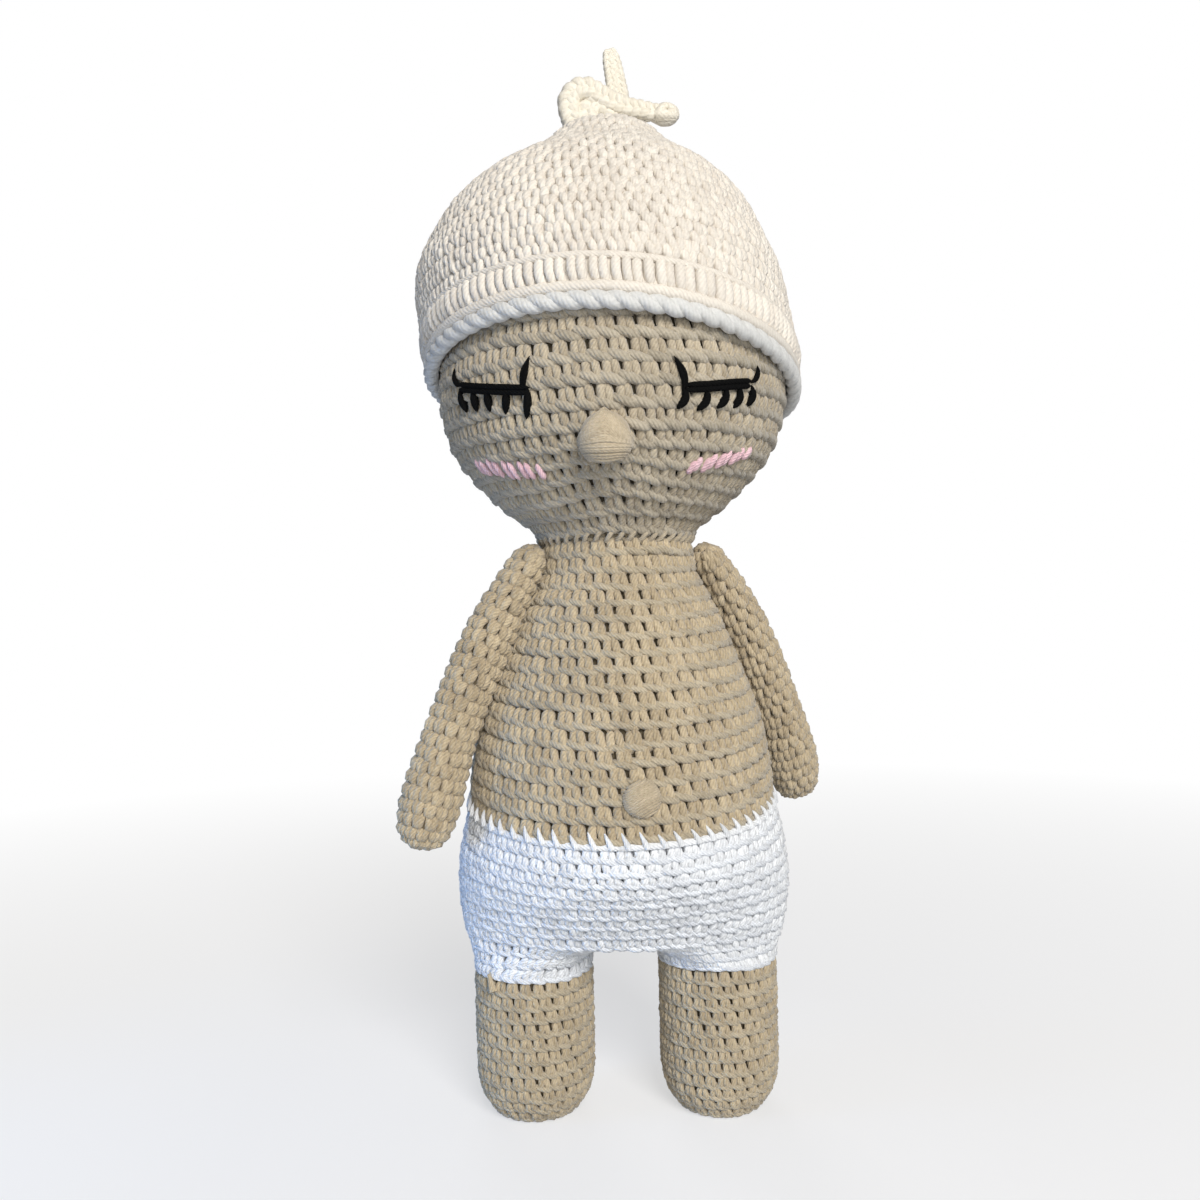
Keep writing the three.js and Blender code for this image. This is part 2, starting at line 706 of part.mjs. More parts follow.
function addArm(doll, name, side, { forward, back, out }) {
  const middle = armMiddle(shoulderAlong);
  const pivot = new THREE.Vector3(
    side * (armTopAcross + middle.across), 0, armTopHeight + middle.up,
  );
  const axis = new THREE.Vector3(-Math.cos(middle.angle), 0, -side * Math.sin(middle.angle));
  const rim = armOutline[0].y;
  const skinForm = solidOf(turned(skinProfile(armOutline, fabric), armSteps));
  const inner = insetOutline(armOutline, inset);
  const lowest = new THREE.Vector2(0, rim + gap);
  const fillForm = solidOf(turned([lowest, ...inner.map(
    (point) => new THREE.Vector2(point.x, Math.max(point.y, rim + gap)),
  )], armSteps));
  const arm = new THREE.Group();
  const place = (point) => {
    placeOnArm(point, side);
    point.sub(pivot);
  };
  arm.add(namedMesh(`${name}_arm_skin`, shaped(geometryOf(skinForm), place), colours.beige));
  arm.add(namedMesh(`${name}_arm_filling`, shaped(geometryOf(fillForm), place), colours.fibre));
  arm.position.copy(pivot);
  arm.quaternion.setFromAxisAngle(axis, back);
  arm.rotateOnWorldAxis(new THREE.Vector3(0, -side, 0), out);
  const shoulder = new THREE.Group();
  shoulder.rotation.z = -side * forward;
  shoulder.add(arm);
  doll.add(shoulder);
}

function makeDoll() {
  const doll = new THREE.Group();
  addTrunk(doll);
  addBellyButton(doll);
  addNeck(doll);
  addHead(doll);
  addNeckSeam(doll);
  addNose(doll);
  addFace(doll);
  addHat(doll);
  addLeg(doll, "right", -1);
  addLeg(doll, "left", 1);
  addArm(doll, "right", -1, { forward: rightArmForward, back: 0, out: 0 });
  addArm(doll, "left", 1, { forward: leftArmForward, back: leftArmBack, out: leftArmOut });
  const middle = new THREE.Box3().setFromObject(doll, true).getCenter(new THREE.Vector3());
  doll.position.set(-middle.x, -middle.y, 0);
  return doll;
}

export default makeDoll();
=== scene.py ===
"""A crocheted doll: every stitch is yarn laid over the doll's own forms, in rows round each piece."""

import math

import bpy
import numpy as np
from mathutils import Matrix, Vector


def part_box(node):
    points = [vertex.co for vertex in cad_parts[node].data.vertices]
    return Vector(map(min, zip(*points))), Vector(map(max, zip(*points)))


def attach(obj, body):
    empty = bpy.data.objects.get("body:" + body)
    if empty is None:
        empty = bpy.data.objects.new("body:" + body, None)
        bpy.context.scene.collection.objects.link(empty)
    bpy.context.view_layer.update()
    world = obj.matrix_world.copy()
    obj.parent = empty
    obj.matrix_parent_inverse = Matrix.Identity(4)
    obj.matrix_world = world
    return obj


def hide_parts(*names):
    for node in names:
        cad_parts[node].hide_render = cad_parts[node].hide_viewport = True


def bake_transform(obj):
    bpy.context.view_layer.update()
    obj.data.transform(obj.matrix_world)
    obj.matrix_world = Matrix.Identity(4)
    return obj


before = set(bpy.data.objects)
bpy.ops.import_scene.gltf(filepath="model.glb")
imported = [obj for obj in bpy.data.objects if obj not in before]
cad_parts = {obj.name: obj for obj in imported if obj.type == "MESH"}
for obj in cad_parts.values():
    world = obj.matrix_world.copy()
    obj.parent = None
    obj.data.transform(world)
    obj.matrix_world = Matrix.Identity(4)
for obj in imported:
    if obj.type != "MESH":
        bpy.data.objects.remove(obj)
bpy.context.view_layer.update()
rng = np.random.default_rng(7)
MM = 0.001
# A piece's materials in order: its strands, what lies behind them, and the ridges between its rows.
# On the crocheted pieces the second is a dark colour and the third, where there is one, a darker
# copy of the strands' yarn: both are painted shade
STRAND, BACKING, RIDGE = 0, 1, 2


def middle(node):
    low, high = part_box(node)
    return (low + high) / 2


# The doll's own axis in the row frame, in metres. All sizes below are millimetres from that axis.
SHIFT = np.array([
    (middle("left_leg_skin").x + middle("right_leg_skin").x) / 2, middle("left_leg_skin").y, 0.0,
])
HEAD_Z, SEAM_Z, NECK_Z = 187.0, 147.7, 140.0
WAIST_Z, CROTCH_Z, HEM_Z = 81.0, 46.6, 38.7
# How much lower the pants end on the doll's right leg
HEM_DROP = 1.9
LEG_X, LEG_R, HEAD_R, NECK_R = 24.0, 15.2, 44.5, 20.3
WAIST_W, WAIST_D = 39.0, 37.0
# The slope of the rows at the waist, which dip towards the front
TILT = math.tan(math.radians(8))
# Steps between two given points of a smooth line, and along a form's side line
SPLINE_STEPS, OUTLINE_STEPS = 24, 400
# Small steps of turn and run, to find a surface's normal
TURN_STEP, RUN_STEP = 0.002, 0.05
# Each strand's twist starts at its own place within this length
TWIST_START = 9


def smooth(t):
    t = np.clip(t, 0, 1)
    return t * t * (3 - 2 * t)


def lerp(a, b, t):
    return a + (b - a) * t


def unit(v):
    return v / np.maximum(np.linalg.norm(v, axis=-1, keepdims=True), 1e-12)


def run_along(line):
    """The length along a line up to each of its points."""
    return np.concatenate([[0], np.cumsum(np.linalg.norm(np.diff(line, axis=0), axis=1))])


def spline(points, count):
    """A smooth line through points, evenly spaced along its length, and that length."""
    pts = np.array(points, float)
    padded = np.vstack([2 * pts[0] - pts[1], pts, 2 * pts[-1] - pts[-2]])
    out = []
    for i in range(1, len(padded) - 2):
        p0, p1, p2, p3 = padded[i - 1:i + 3]
        t = np.linspace(0, 1, SPLINE_STEPS, endpoint=False)[:, None]
        out.append(0.5 * (2 * p1 + (p2 - p0) * t + (2 * p0 - 5 * p1 + 4 * p2 - p3) * t ** 2
                          + (3 * p1 - p0 - 3 * p2 + p3) * t ** 3))
    line = np.vstack(out + [pts[-1:]])
    run = run_along(line)
    at = np.linspace(0, run[-1], count)
    return np.stack([np.interp(at, run, line[:, k]) for k in range(line.shape[1])], -1), run[-1]


class Outline:
    """A round form's side line, as radius and height along its own length."""

    def __init__(self, points):
        self.line, self.length = spline(points, OUTLINE_STEPS)
        self.at = np.linspace(0, self.length, OUTLINE_STEPS)

    def radius(self, run):
        return np.interp(run, self.at, self.line[:, 0])

    def height(self, run):
        return np.interp(run, self.at, self.line[:, 1])

    def run_at(self, height):
        return np.interp(height, self.line[:, 1], self.at)


def link(name, data):
    obj = bpy.data.objects.new(name, data)
    bpy.context.scene.collection.objects.link(obj)
    return obj


class Yarn:
    """Collects strands into one mesh, with a shade per strand and a map along it."""

    def __init__(self):
        self.verts, self.faces, self.shade, self.maps, self.kinds = [], [], [], [], []
        self.count = 0

    def add(self, verts, faces, shade, maps, kind):
        self.faces.append(faces + self.count)
        self.verts.append(verts)
        self.shade.append(shade)
        self.maps.append(maps)
        self.kinds.append(np.full(len(faces), kind))
        self.count += len(verts)

    def strands(self, points, normals, radii, sides=6, closed=False, shade=None, kind=STRAND):
        """points and normals are (strands, steps, 3); radii are (strands, steps) or one value."""
        n, k, _ = points.shape
        radii = np.broadcast_to(radii, (n, k))
        if closed:
            tangent = unit(np.roll(points, -1, 1) - np.roll(points, 1, 1))
        else:
            tangent = unit(np.gradient(points, axis=1))
        across = unit(np.cross(tangent, normals))
        out = np.cross(across, tangent)
        share = (np.arange(sides) + 0.5) / sides
        angle = share * 2 * np.pi - np.pi / 2
        ring = across[:, :, None] * np.cos(angle)[:, None] + out[:, :, None] * np.sin(angle)[:, None]
        verts = points[:, :, None] + ring * radii[:, :, None, None]
        base = np.arange(n)[:, None, None] * k * sides
        steps = np.arange(k if closed else k - 1)[None, :, None]
        near, far = base + steps * sides, base + (steps + 1) % k * sides
        side = np.arange(sides)[None, None, :]
        turn = (side + 1) % sides
        corners = near + side, far + side, far + turn, near + turn
        quads = np.stack(np.broadcast_arrays(*corners), -1).reshape(-1, 4)
        lengths = np.linalg.norm(np.diff(points, axis=1), axis=2)
        run = np.concatenate([np.zeros((n, 1)), np.cumsum(lengths, 1)], 1)
        run = run + rng.uniform(0, TWIST_START, (n, 1))
        maps = np.stack(np.broadcast_arrays(run[:, :, None], share[None, None, :]), -1)
        if shade is None:
            shade = rng.uniform(0, 1, n)
        shades = np.broadcast_to(np.asarray(shade, float).reshape(n, 1, 1), (n, k, sides))
        self.add(verts.reshape(-1, 3), quads, shades.reshape(-1), maps.reshape(-1, 2), kind)

    def thread(self, points, normals, radius, sides=6, **options):
        """One strand; its normal and its radius may be the same all along it."""
        normals = np.broadcast_to(normals, points.shape)
        self.strands(points[None], normals[None], radius, sides, **options)

    def sheet(self, grid):
        """A surface through a grid of points (rows, columns, 3), closed round each row."""
        rows, cols, _ = grid.shape
        near = np.arange(rows - 1)[:, None] * cols
        j = np.arange(cols)[None, :]
        after = (j + 1) % cols
        corners = near + j, near + after, near + cols + after, near + cols + j
        quads = np.stack(np.broadcast_arrays(*corners), -1).reshape(-1, 4)
        count = rows * cols
        self.add(grid.reshape(-1, 3), quads, np.full(count, 0.5), np.zeros((count, 2)), BACKING)

    def build(self, name, *materials):
        verts = np.vstack(self.verts) * MM + SHIFT
        faces = np.vstack(self.faces)
        mesh = bpy.data.meshes.new(name)
        mesh.vertices.add(len(verts))
        mesh.vertices.foreach_set("co", verts.astype(np.float32).ravel())
        mesh.loops.add(len(faces) * 4)
        mesh.loops.foreach_set("vertex_index", faces.astype(np.int32).ravel())
        mesh.polygons.add(len(faces))
        mesh.polygons.foreach_set("loop_start", np.arange(0, len(faces) * 4, 4, dtype=np.int32))
        mesh.polygons.foreach_set("use_smooth", np.ones(len(faces), bool))
        mesh.polygons.foreach_set("material_index", np.concatenate(self.kinds).astype(np.int32))
        mesh.update(calc_edges=True)
        shade = mesh.attributes.new("shade", "FLOAT", "POINT")
        shade.data.foreach_set("value", np.concatenate(self.shade).astype(np.float32))
        lay = mesh.attributes.new("lay", "FLOAT_VECTOR", "POINT")
        maps = np.column_stack([np.vstack(self.maps), np.zeros(len(verts))])
        lay.data.foreach_set("vector", maps.astype(np.float32).ravel())
        for material in materials:
            mesh.materials.append(material)
        return link(name, mesh)


def on(surface, turn, run):
    """Points and outward normals of a surface, which takes the turn round it and the run up it."""
    turn, run = np.broadcast_arrays(np.asarray(turn, float), np.asarray(run, float))
    point = surface(turn, run)
    round_it = surface(turn + TURN_STEP, run) - surface(turn - TURN_STEP, run)
    up_it = surface(turn, run + RUN_STEP) - surface(turn, run - RUN_STEP)
    return point, unit(np.cross(round_it, up_it))


def girth(surface, run):
    """The length of a row round a surface."""
    turn = np.linspace(0, 1, 73)
    points = surface(turn, np.full_like(turn, run))
    return np.linalg.norm(np.diff(points, axis=0), axis=1).sum()


def row_edges(surface, low, high, pitch, turn=0.0):
    """Runs at which rows meet, evenly spaced as measured up the surface."""
    run = np.linspace(low, high, 500)
    length = run_along(surface(np.full_like(run, turn), run))
    count = max(1, round(length[-1] / pitch))
    return np.interp(np.linspace(0, length[-1], count + 1), length, run)


def stitch(first, second, up, out, leg, ridge=None, thick=0.0):
    """The paths of a stitch's two legs and of its ridge's slanted strand, across, up and out.

    Across and up are shares of its width and its row's height, and out is in millimetres. leg and
    thick are the radii, as shares of the width and the height.
    """
    legs = [list(zip(across, up, out)) for across in (first, second)]
    return dict(legs=legs, leg=leg, ridge=list(zip(*ridge)) if ridge else None, thick=thick)


STITCHES = {
    "plain": stitch(
        first=(0.28, 0.3, 0.28, 0.25, 0.3), second=(0.88, 0.79, 0.72, 0.66, 0.53),
        up=(-0.02, 0.22, 0.48, 0.74, 0.98), out=(-1.6, -0.82, -0.5, -0.58, -1.5), leg=0.25,
        ridge=((-0.2, 0.1, 0.5, 0.9, 1.2), (0.31, 0.28, 0.17, 0.06, 0.02),
               (-1.25, -0.5, -0.24, -0.5, -1.25)), thick=0.24),
    "close": stitch(
        first=(0.26, 0.28, 0.28, 0.27, 0.32), second=(0.86, 0.79, 0.73, 0.67, 0.58),
        up=(0.0, 0.25, 0.52, 0.76, 1.0), out=(-1.6, -1.0, -0.62, -0.7, -1.5), leg=0.265,
        ridge=((-0.18, 0.1, 0.5, 0.9, 1.18), (0.29, 0.27, 0.16, 0.07, 0.04),
               (-1.15, -0.48, -0.2, -0.48, -1.15)), thick=0.235),
    "foot": stitch(
        first=(0.26, 0.28, 0.29, 0.28, 0.33), second=(0.86, 0.78, 0.71, 0.66, 0.55),
        up=(0.0, 0.25, 0.5, 0.74, 0.98), out=(-1.5, -0.9, -0.45, -0.5, -1.4), leg=0.248,
        ridge=((-0.22, 0.1, 0.5, 0.9, 1.22), (0.29, 0.26, 0.14, 0.03, 0.0),
               (-1.2, -0.58, -0.36, -0.58, -1.2)), thick=0.23),
    "lump": stitch(
        first=(0.27, 0.28, 0.31, 0.36, 0.44), second=(0.77, 0.75, 0.7, 0.65, 0.57),
        up=(1.1, 0.86, 0.54, 0.24, 0.02), out=(-1.9, -1.05, -0.42, -0.6, -1.7), leg=0.252),
    "cell": stitch(
        first=(0.22, 0.24, 0.28, 0.34, 0.42), second=(0.74, 0.74, 0.73, 0.7, 0.64),
        up=(1.08, 0.84, 0.54, 0.24, 0.0), out=(-1.4, -0.95, -0.62, -0.68, -1.3), leg=0.275),
    "post": stitch(
        first=(0.32, 0.24, 0.24, 0.28, 0.36), second=(0.78, 0.7, 0.7, 0.74, 0.8),
        up=(-0.06, 0.25, 0.5, 0.76, 1.02), out=(-1.5, -0.5, -0.36, -0.45, -1.2), leg=0.262),
}
# A strand's thickness along it: thinner at both ends, where it goes under others
ENDS = np.array([0.75, 0.96, 1, 1, 1, 0.94, 0.72])
# How far a strand strays across, up and out, its spread of thickness, and a row's rise and fall
STRAY = (0.03, 0.025, 0.08)
THICKNESS = (0.93, 1.06)
RIPPLE, RIPPLE_TURN = 0.03, 0.9


def bent(amount, phase):
    """A row's gentle waves as it goes round, in millimetres."""
    return lambda turn: (amount * np.sin(2 * np.pi * (3 * turn + phase))
                         + amount * np.sin(4 * np.pi * (turn + phase)))


def strand_set(yarn, surface, low, high, count, start, path, radius, sides, bend, pinch, kind):
    """The same strand of every stitch in a row."""
    path = spline(path, len(ENDS))[0]
    j = np.arange(count)[:, None]
    across = path[None, :, 0] + rng.normal(0, STRAY[0], (count, 1))
    up = path[None, :, 1] + rng.normal(0, STRAY[1], (count, 1)) + RIPPLE * np.sin(j * RIPPLE_TURN)
    lift = path[None, :, 2] + rng.normal(0, STRAY[2], (count, 1))
    turn = start + (j + across) / count
    thick = radius * rng.uniform(*THICKNESS, (count, 1)) * ENDS
    if pinch:
        thick = thick * pinch(turn)
    point, normal = on(surface, turn, lerp(low, high, up) + bend(turn))
    yarn.strands(point + normal * lift[..., None], normal, thick, sides, kind=kind)


def crochet(yarn, surface, rows, width, style, drift=0.4, sides=(7, 6), lift=0.0, height=None,
            wobble=0.16, pinch=None):
    """Rows of stitches up a surface, each row starting drift stitches after the one below it.

    A stitch's width and lift are in millimetres, or depend on the run. height replaces the row's own
    for the ridge's radius, and sides are those of a leg and of a ridge strand.
    """
    style = STITCHES[style]
    for i, (low, high) in enumerate(zip(rows[:-1], rows[1:])):
        mid = (low + high) / 2
        across = width(mid) if callable(width) else width
        rise = lift(mid) if callable(lift) else lift
        count = max(5, round(girth(surface, mid) / across))
        start = (drift * i + rng.uniform(-0.1, 0.1)) / count
        bend = bent(wobble, rng.uniform())
        strands = [(path, style["leg"] * across, STRAND) for path in style["legs"]]
        if style["ridge"]:
            strands.append((style["ridge"], style["thick"] * (height or high - low), RIDGE))
        for path, radius, kind in strands:
            path = [(a, b, w + rise) for a, b, w in path]
            strand_set(yarn, surface, low, high, count, start, path, radius, sides[kind == RIDGE],
                       bend, pinch, kind)


def ring_strand(yarn, surface, run, radius, lift, shade=0.5):
    """One smooth strand all round a surface."""
    turn = np.arange(160) / 160
    point, normal = on(surface, turn, run)
    yarn.thread(point + normal * lift, normal, radius, 7, closed=True, shade=[shade])


def backing(yarn, surface, low, high, depth=1.9, steps=40, around=96):
    """A plain sheet under the stitches, which the piece colours dark as painted shade."""
    turn = np.arange(around) / around
    point, normal = on(surface, turn[None, :], np.linspace(low, high, steps)[:, None])
    yarn.sheet(point - normal * depth)


def ended(count, share, power):
    """Thickness along a strand that is rounded off at both ends."""
    t = np.linspace(0, 1, count)
    edge = np.clip(np.minimum(t, 1 - t) / share, 0, 1)
    return np.maximum(np.sin(edge * np.pi / 2) ** power, 0.06)


# The forms, each as a surface of turn, from 0 at the front towards the doll's left, and run

# The swell of the hips, and the share of the pants' height where they are as deep as the waist
HIP_SWELL, DEEP_SHARE = 3.5, 0.77
# How much of the rows' slope is lost from the waist to the neck
SLOPE_LOSS = 0.9
# Half the angle that the pants' outer side takes round a leg, and how fast it rounds at the hem
FORK_OPEN, FORK_POWER = math.radians(130), 1.6
# The foot is cut off at the sole's depth; a power of 2 would make it an ellipse
FOOT_HEIGHT, SOLE_DEPTH, FOOT_POWER = 16.2, 2.0, 2.6
# How far the neck's crochet lies inside its filling
NECK_INSET = 0.9
TORSO = Outline([
    (WAIST_W, WAIST_Z),
    *[(lerp(NECK_R, WAIST_W, swell), lerp(WAIST_Z, NECK_Z, rise))
      for rise, swell in ((0.1, 0.985), (0.34, 0.85), (0.58, 0.58), (0.81, 0.29), (0.93, 0.09))],
    (NECK_R, NECK_Z),
])


def around(radius, turn, z):
    """Points at a radius round the doll's axis."""
    angle = 2 * np.pi * turn
    return np.stack([radius * np.sin(angle), -radius * np.cos(angle), z + 0 * angle], -1)


def half_width(z):
    share = (z - HEM_Z) / (WAIST_Z - HEM_Z)
    pants = lerp(LEG_X + LEG_R, WAIST_W, share) + HIP_SWELL * np.sin(np.pi * np.clip(share, 0, 1))
    neck = np.sqrt(np.maximum(NECK_R ** 2 - (z - NECK_Z) ** 2, 1))
    torso = np.interp(z, TORSO.line[:, 1], TORSO.line[:, 0])
    return np.where(z > NECK_Z, neck, np.where(z > WAIST_Z, torso, pants))


def half_depth(z):
    share = (z - HEM_Z) / (WAIST_Z - HEM_Z)
    hem = LEG_R / math.sqrt(1 - (LEG_X / (LEG_X + LEG_R)) ** 2)
    round_share = np.clip((z - WAIST_Z) / (NECK_Z - WAIST_Z), 0, 1)
    above = half_width(z) * lerp(WAIST_D / WAIST_W, 1, round_share)
    return np.where(z > WAIST_Z, above, lerp(hem, WAIST_D, smooth(share / DEEP_SHARE)))


def even(angle, wide, deep):
    """An angle round an ellipse, from its deep side, such that equal steps are about as long."""
    return angle - (wide - deep) / (2 * (wide + deep)) * np.sin(2 * angle)


def trunk(turn, run):
    """The run is the height of a row at the doll's sides; rows dip towards the front at the waist."""
    angle = even(2 * np.pi * turn, half_width(run), half_depth(run))
    above = 1 - SLOPE_LOSS * np.clip((run - WAIST_Z) / (SEAM_Z - WAIST_Z), 0, 1)
    below = smooth((run - CROTCH_Z) / (WAIST_Z - CROTCH_Z))
    slope = TILT * np.where(run > WAIST_Z, above, below)
    z = run - slope * half_depth(run) * np.cos(angle)
    return np.stack([half_width(z) * np.sin(angle), -half_depth(z) * np.cos(angle), z], -1)


def pants_leg(side):
    """The pants below the crotch on one side, where they fork round the leg."""
    def surface(turn, run):
        t = (turn if side > 0 else 1 - turn) % 1
        fork = np.clip((run - HEM_Z) / (CROTCH_Z - HEM_Z), 0, 1)
        outer = t < FORK_OPEN / np.pi
        share = np.where(outer, t * 2 * np.pi / FORK_OPEN - 1, 0)
        inner = np.where(outer, 0, (t * np.pi - FORK_OPEN) / (np.pi - FORK_OPEN))
        inner_leg = np.sqrt(1 - fork ** 2)
        leg = np.where(outer, lerp((1 - fork) ** FORK_POWER, inner_leg, share ** 2), inner_leg)
        angle = np.where(outer, share * FORK_OPEN, lerp(FORK_OPEN, 2 * np.pi - FORK_OPEN, inner))
        wide, deep = half_width(run), half_depth(run)
        bow = even(share * np.pi / 2, deep, wide)
        x = np.where(outer, wide * np.cos(bow), 0)
        y = np.where(outer, deep * np.sin(bow), deep * (1 - 2 * inner))
        x = lerp(x, LEG_X + LEG_R * np.cos(angle), leg)
        y = lerp(y, LEG_R * np.sin(angle), leg)
        return np.stack([side * x, y, run + 0 * x], -1)
    return surface


FOOT = Outline([(0, 0)] + [
    (LEG_R * (1 - (1 - height / FOOT_HEIGHT) ** FOOT_POWER) ** (1 / FOOT_POWER), height - SOLE_DEPTH)
    for height in np.linspace(SOLE_DEPTH, FOOT_HEIGHT, 9)] + [(LEG_R, 22), (LEG_R, 30), (LEG_R, HEM_Z)])


def leg(side):
    def surface(turn, run):
        return around(FOOT.radius(run), turn, FOOT.height(run)) + [side * LEG_X, 0, 0]
    return surface


ARM_LENGTH, ARM_R = 80.0, 8.3
ARM_TOP, ARM_HAND = math.radians(33), math.radians(13)
ARM_BEND = (ARM_TOP - ARM_HAND) / ARM_LENGTH
ARM_X, ARM_Z = 22.60, SEAM_Z - 3.5
# How far down the arm it turns, how flat its top is pressed, and how far down it is round
ARM_PIVOT, ARM_FLAT, ARM_ROUND = 8.0, 0.62, 26
ARM = Outline([(0, ARM_LENGTH)] + [(ARM_R * r, ARM_LENGTH * a) for r, a in (
    (0.55, 0.985), (0.86, 0.94), (1, 0.86), (0.98, 0.76), (0.88, 0.6), (0.83, 0.45), (0.76, 0.3),
    (0.74, 0.16), (0.72, 0.06), (0.6, 0.005), (0.2, -0.01))])


def arm_middle(along):
    """The slant of the arm's bowed middle line, and the place on it across and up from the top."""
    angle = ARM_TOP - ARM_BEND * along
    across = (np.cos(angle) - math.cos(ARM_TOP)) / ARM_BEND
    return angle, across, (np.sin(angle) - math.sin(ARM_TOP)) / ARM_BEND


def arm(side, forward, back=0.0, out=0.0):
    """An arm turned about its shoulder point, and then forward about the doll's axis."""
    angle, across, up = arm_middle(ARM_PIVOT)
    pivot = np.array([side * (ARM_X + across), 0, ARM_Z + up])
    axis = Vector((-math.cos(angle), 0, -side * math.sin(angle)))
    outward = Matrix.Rotation(math.radians(out), 3, Vector((0, -side, 0)))
    own = np.array(outward @ Matrix.Rotation(math.radians(back), 3, axis))
    round_axis = np.array(Matrix.Rotation(math.radians(-side * forward), 3, "Z"))

    def surface(turn, run):
        radius, along = ARM.radius(run), ARM.height(run)
        angle, across, up = arm_middle(along)
        flat = lerp(ARM_FLAT, 1, smooth(along / ARM_ROUND))
        reach = side * radius * np.sin(2 * np.pi * turn) * flat
        place = np.stack([
            side * (ARM_X + across + reach * np.cos(angle)), -radius * np.cos(2 * np.pi * turn),
            ARM_Z + up + reach * np.sin(angle)], -1)
        return ((place - pivot) @ own.T + pivot) @ round_axis.T
    return surface


HEAD = Outline([(math.sqrt((NECK_R + 0.6) ** 2 - 8 ** 2), SEAM_Z + 0.3)] + [
    (HEAD_R * r, HEAD_Z + HEAD_R * h) for r, h in (
        (0.515, -0.79), (0.64, -0.7), (0.79, -0.55), (0.915, -0.39), (0.972, -0.22), (1, 0),
        (0.93, 0.37), (0.76, 0.65), (0.5, 0.866), (0.26, 0.966), (0, 1))])
FACE_TURN = math.radians(-3.3)
# The rows' arch under the nose: its rise, its width in radians, its height, and its place
ARCH, ARCH_WIDE, ARCH_HIGH, ARCH_Z = 3.2, 0.36, 8, -29


def head(turn, run):
    """Rows arch up under the nose."""
    off = (2 * np.pi * turn - FACE_TURN + np.pi) % (2 * np.pi) - np.pi
    below = HEAD.height(run) - HEAD_Z
    arch = ARCH * np.exp(-(off / ARCH_WIDE) ** 2) * np.exp(-((below - ARCH_Z) / ARCH_HIGH) ** 2)
    return around(HEAD.radius(run + arch), turn, HEAD.height(run + arch))


def neck(turn, run):
    return around(np.sqrt((NECK_R - NECK_INSET) ** 2 - (run - NECK_Z) ** 2), turn, run)


HAT_R, HAT_DROP, HAT_HEIGHT, HAT_TILT = 48.5, -3.8, 76.5, math.radians(-6)
HAT_SLOUCH = 3.2
# The brim's slopes, up to the front and down to the doll's left, how far up the hat they reach, and
# how softly the front's begins
BRIM_FRONT, BRIM_SIDE = math.tan(math.radians(9.4)), math.tan(math.radians(4))
BRIM_SHARE, BRIM_SOFT = 0.6, 15
HAT = Outline([(HAT_R, 2.0)] + [(HAT_R * r, HAT_DROP + HAT_HEIGHT * h) for r, h in (
    (0.99, 0.36), (0.925, 0.5), (0.834, 0.62), (0.7, 0.72), (0.53, 0.8), (0.395, 0.87),
    (0.31, 0.93), (0.2, 0.972), (0, 1))])


def in_hat(points):
    """Points of the hat's own round form, bent and tilted back over the head."""
    x, y, z = np.moveaxis(points, -1, 0)
    up = (z - HAT_DROP) / HAT_HEIGHT
    weight = 1 - smooth(up / BRIM_SHARE)
    front = (np.hypot(y, BRIM_SOFT) - y) / 2
    z = z + weight * (front * BRIM_FRONT - x * BRIM_SIDE)
    x = x - HAT_SLOUCH * np.sin(np.pi * np.clip(up, 0, 1)) ** 2
    c, s = math.cos(HAT_TILT), math.sin(HAT_TILT)
    return np.stack([x, y * c - z * s, HEAD_Z + y * s + z * c], -1)


def hat(turn, run):
    return in_hat(around(HAT.radius(run), turn, HAT.height(run)))


# Materials

# The plies round a strand, and the length in which they turn once
PLIES, PLY_PITCH = 6.0, 6.5
# Noise scales of the fibres, of broad patches and of what lies behind, and the bump's depth
FIBRE_SCALE, PATCH_SCALE, BEHIND_SCALE, RELIEF = 1500.0, 60.0, 900.0, 0.0004
# How much a strand's own shade and the patches change its colour
SHADE_SHARE, SHADE_BASE, PATCH_SHARE = 0.4, 0.05, 0.5


def linear(rgb):
    """A screen colour, 0 to 255, as the shader's."""
    return [*[(c / 255 / 12.92) if c <= 10.3 else ((c / 255 + 0.055) / 1.055) ** 2.4 for c in rgb], 1]


def node(tree, kind, **inputs):
    """A shader node. i0, i1 and so on are its inputs by number, and others go by name."""
    made = tree.nodes.new(kind)
    for key, value in inputs.items():
        if key in ("operation", "data_type", "attribute_name"):
            setattr(made, key, value)
            continue
        numbered = key[0] == "i" and key[1:].isdigit()
        socket = made.inputs[int(key[1:]) if numbered else key.replace("_", " ")]
        if isinstance(value, bpy.types.NodeSocket):
            tree.links.new(value, socket)
        else:
            socket.default_value = value
    return made


def calc(tree, operation, *values):
    inputs = {f"i{k}": value for k, value in enumerate(values)}
    return node(tree, "ShaderNodeMath", operation=operation, **inputs).outputs[0]


def noise(tree, scale):
    place = node(tree, "ShaderNodeTexCoord").outputs["Object"]
    return node(tree, "ShaderNodeTexNoise", Vector=place, Scale=scale, Detail=3.0).outputs["Fac"]


def new_material(name):
    material = bpy.data.materials.new(name)
    material.use_nodes = True
    return material, material.node_tree


def set_colour(tree, share, dark, light, rough):
    """Colours a surface from dark to light by share."""
    shader = tree.nodes["Principled BSDF"]
    colour = node(tree, "ShaderNodeMix", data_type="RGBA", i0=share, i6=linear(dark), i7=linear(light))
    tree.links.new(colour.outputs[2], shader.inputs["Base Color"])
    shader.inputs["Roughness"].default_value = rough
    return shader


def set_bump(tree, height, bump):
    shader = tree.nodes["Principled BSDF"]
    relief = node(tree, "ShaderNodeBump", Height=height, Strength=bump, Distance=RELIEF)
    tree.links.new(relief.outputs[0], shader.inputs["Normal"])


